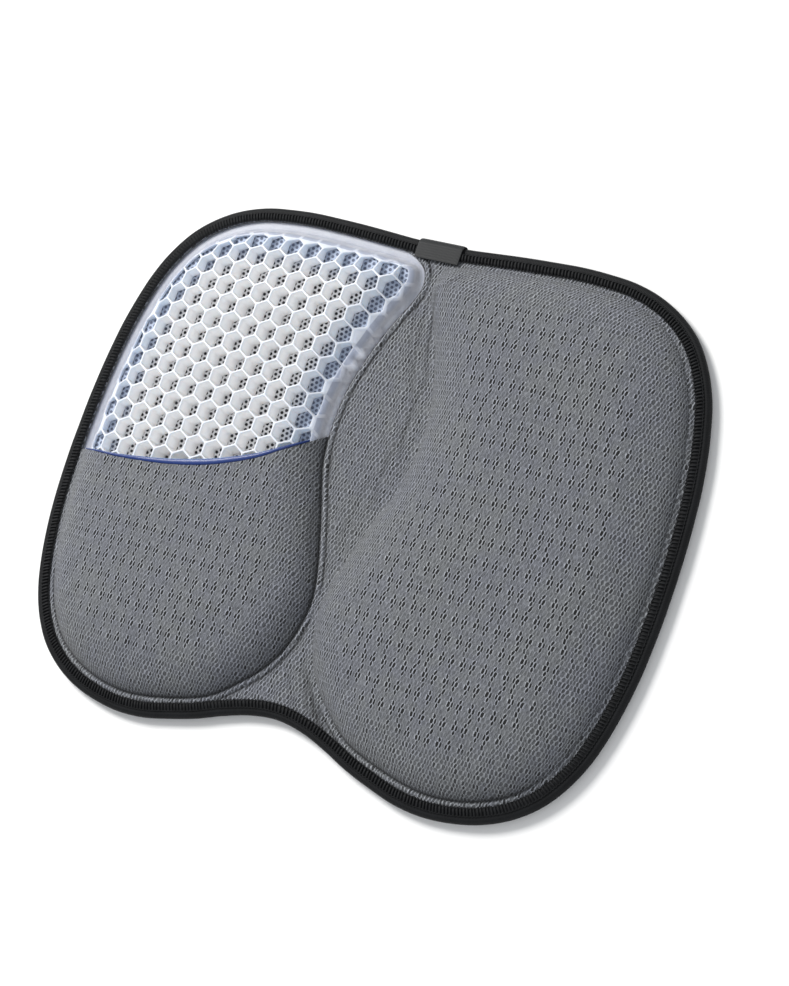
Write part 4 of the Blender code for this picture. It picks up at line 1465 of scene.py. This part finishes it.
def build_thread():
    """Bars across the tape's inner half, and two wavy strands that link their ends."""
    path = evenly(OUTLINE, 2400, True)
    normals = right_normals(path)
    length = loop_length(path)
    bars = int(length / STITCH_PITCH)
    vertices, quads, ends = thread_bars(path, normals, bars, length)
    parts, groups = [vertices], [quads, ends]
    for strand in STRANDS:
        groups.append(ring_faces(5, 4 * bars, rows_close=True) + sum(map(len, parts)))
        parts.append(edge_strand(path, normals, 4 * bars, *strand))
    piece = make_piece("overlock_thread", np.vstack(parts), groups, THREAD, crease=80)
    print(bars, "thread bars")
    return settle(piece, "binding_stitching")


overlock_thread = build_thread()

# %% [markdown]
# ## The rear tab
#
# A short ribbon is folded over the tape at the rear and sewn down.  It is a U-shaped strip:
# the section's outline, with its thickness, is carried across the ribbon's width, and the
# fold bulges a little in the middle.


# %% Tab
TAB_THICKNESS = 0.0011
TAB_REACH = 0.0047
TAB_COLUMNS = 25


def tab_section():
    """Closed outline of the folded ribbon as (y, z): two half ellipses with a leg on each side."""
    low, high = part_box("rear_tab")
    thickness = TAB_THICKNESS
    top, floor = high.z, low.z
    middle = (top + floor) / 2
    radius = (top - floor) / 2
    squash = TAB_REACH / radius
    centre = high.y - radius * squash
    turn = np.linspace(math.pi / 2, -math.pi / 2, 17)
    outer = np.column_stack([centre + radius * squash * np.cos(turn), middle + radius * np.sin(turn)])
    bore = radius - thickness
    shrink = (radius * squash - thickness) / bore
    inner = np.column_stack([centre + bore * shrink * np.cos(turn[::-1]),
                             middle + bore * np.sin(turn[::-1])])
    front = low.y
    under = high.y - TAPE_WIDTH - thickness
    leg = np.linspace(front, centre, 6, endpoint=False)
    top_leg = np.column_stack([leg, np.full(6, top)])
    end = [(front - 0.0001, top - thickness / 2)]
    low_leg = [(under, floor), (under - 0.0001, floor + thickness / 2), (under, floor + thickness)]
    back_leg = np.column_stack([leg[::-1], np.full(6, top - thickness)])
    return np.vstack([top_leg, outer, low_leg, inner, back_leg, end])


def build_tab():
    section = tab_section()
    low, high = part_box("rear_tab")
    across = np.sin(np.linspace(-1, 1, TAB_COLUMNS) * math.pi / 2)
    x = (low.x + high.x) / 2 + across * (high.x - low.x) / 2
    round_off = np.sqrt(np.clip(1 - np.abs(across) ** 14, 0, 1))
    rows = len(section)
    normal = np.roll(section, -1, axis=0) - np.roll(section, 1, axis=0)
    normal = np.column_stack([-normal[:, 1], normal[:, 0]])
    normal /= np.maximum(np.linalg.norm(normal, axis=1), 1e-9)[:, None]
    thin = 0.00035 * (1 - round_off)
    place = section[None] - normal[None] * thin[:, None, None]
    vertices = np.concatenate([np.broadcast_to(x[:, None, None], (TAB_COLUMNS, rows, 1)), place], axis=2)
    girth = path_length(section)
    uv = np.column_stack([np.repeat(x, rows), np.tile(girth, TAB_COLUMNS)])
    quads = ring_faces(TAB_COLUMNS, rows)
    half = rows // 2
    k = np.arange(half - 1)
    cap = np.column_stack([k, k + 1, rows - 2 - k, rows - 1 - k])
    last = (TAB_COLUMNS - 1) * rows
    piece = make_piece("folded_tab", vertices.reshape(-1, 3),
                       [quads, cap[:, ::-1], cap + last], TAB, uv=uv, crease=60)
    return settle(piece, "rear_tab")


folded_tab = build_tab()

# %% [markdown]


# %% [markdown]
# ## Floor, light and camera
#
# The floor is pale and plain.  A big soft light comes from behind on the left, so that the
# flanks that face the front right fall into gentle shade, and a weak one fills them.


# %% Floor
def build_floor():
    made, net, shader = new_material("floor_pale", Roughness=0.9)
    share = net.group("mottle", Vector=net.place(), Scale=2.0)["Share"]
    net.feed(shader.inputs["Base Color"], net.mix(share, (0.93, 0.93, 0.93), (0.95, 0.95, 0.95)))
    size = 6.0
    vertices = [(-size, -size, 0), (size, -size, 0), (size, size, 0), (-size, size, 0)]
    floor = make_piece("floor", np.array(vertices), [np.array([[0, 1, 2, 3]])], made)


build_floor()


# %% Lights
def soft_light(name, place, size, power, colour):
    """A round area light that looks at the cushion's middle."""
    data = bpy.data.lights.new(name, "AREA")
    data.shape = "DISK"
    data.size = size
    data.energy = power
    data.color = colour
    light = bpy.data.objects.new(name, data)
    bpy.context.scene.collection.objects.link(light)
    turn = (-Vector(place)).to_track_quat("-Z", "Y")
    light.matrix_world = Matrix.LocRotScale(Vector(place), turn, None)


soft_light("key", (-1.10, 0.75, 1.40), 0.8, 40, (1.0, 0.99, 0.97))
soft_light("fill", (1.3, -1.2, 1.4), 1.6, 8, (0.93, 0.96, 1.0))
world = bpy.data.worlds.new("studio")
world.use_nodes = True
background = world.node_tree.nodes["Background"].inputs
background["Color"].default_value = (0.96, 0.98, 1.0, 1.0)
background["Strength"].default_value = 0.50
bpy.context.scene.world = world


# %% Camera
def build_camera():
    """A long lens that looks down on the front right corner, turned about its own axis."""
    azimuth, elevation, roll = (math.radians(angle) for angle in (71.12, 62.60, -53.82))
    distance = 1.298
    aside, above = 0.0249, 0.0018
    back = Vector((math.sin(azimuth) * math.cos(elevation), -math.cos(azimuth) * math.cos(elevation),
                   math.sin(elevation)))
    right = (-back).cross(Vector((0, 0, 1))).normalized()
    up = right.cross(-back)
    turned = math.cos(roll) * right + math.sin(roll) * up
    top = -math.sin(roll) * right + math.cos(roll) * up
    place = aside * turned + above * top + distance * back + Vector((0, 0, RIM_MIDDLE))
    data = bpy.data.cameras.new("camera")
    data.sensor_fit = "AUTO"
    data.sensor_width = 36
    data.lens = 72.4
    camera = bpy.data.objects.new("camera", data)
    bpy.context.scene.collection.objects.link(camera)
    camera.matrix_world = Matrix((
        (turned.x, top.x, back.x, place.x), (turned.y, top.y, back.y, place.y),
        (turned.z, top.z, back.z, place.z), (0, 0, 0, 1)))
    return camera


bpy.context.scene.camera = build_camera()
bpy.context.scene.view_settings.view_transform = "Standard"
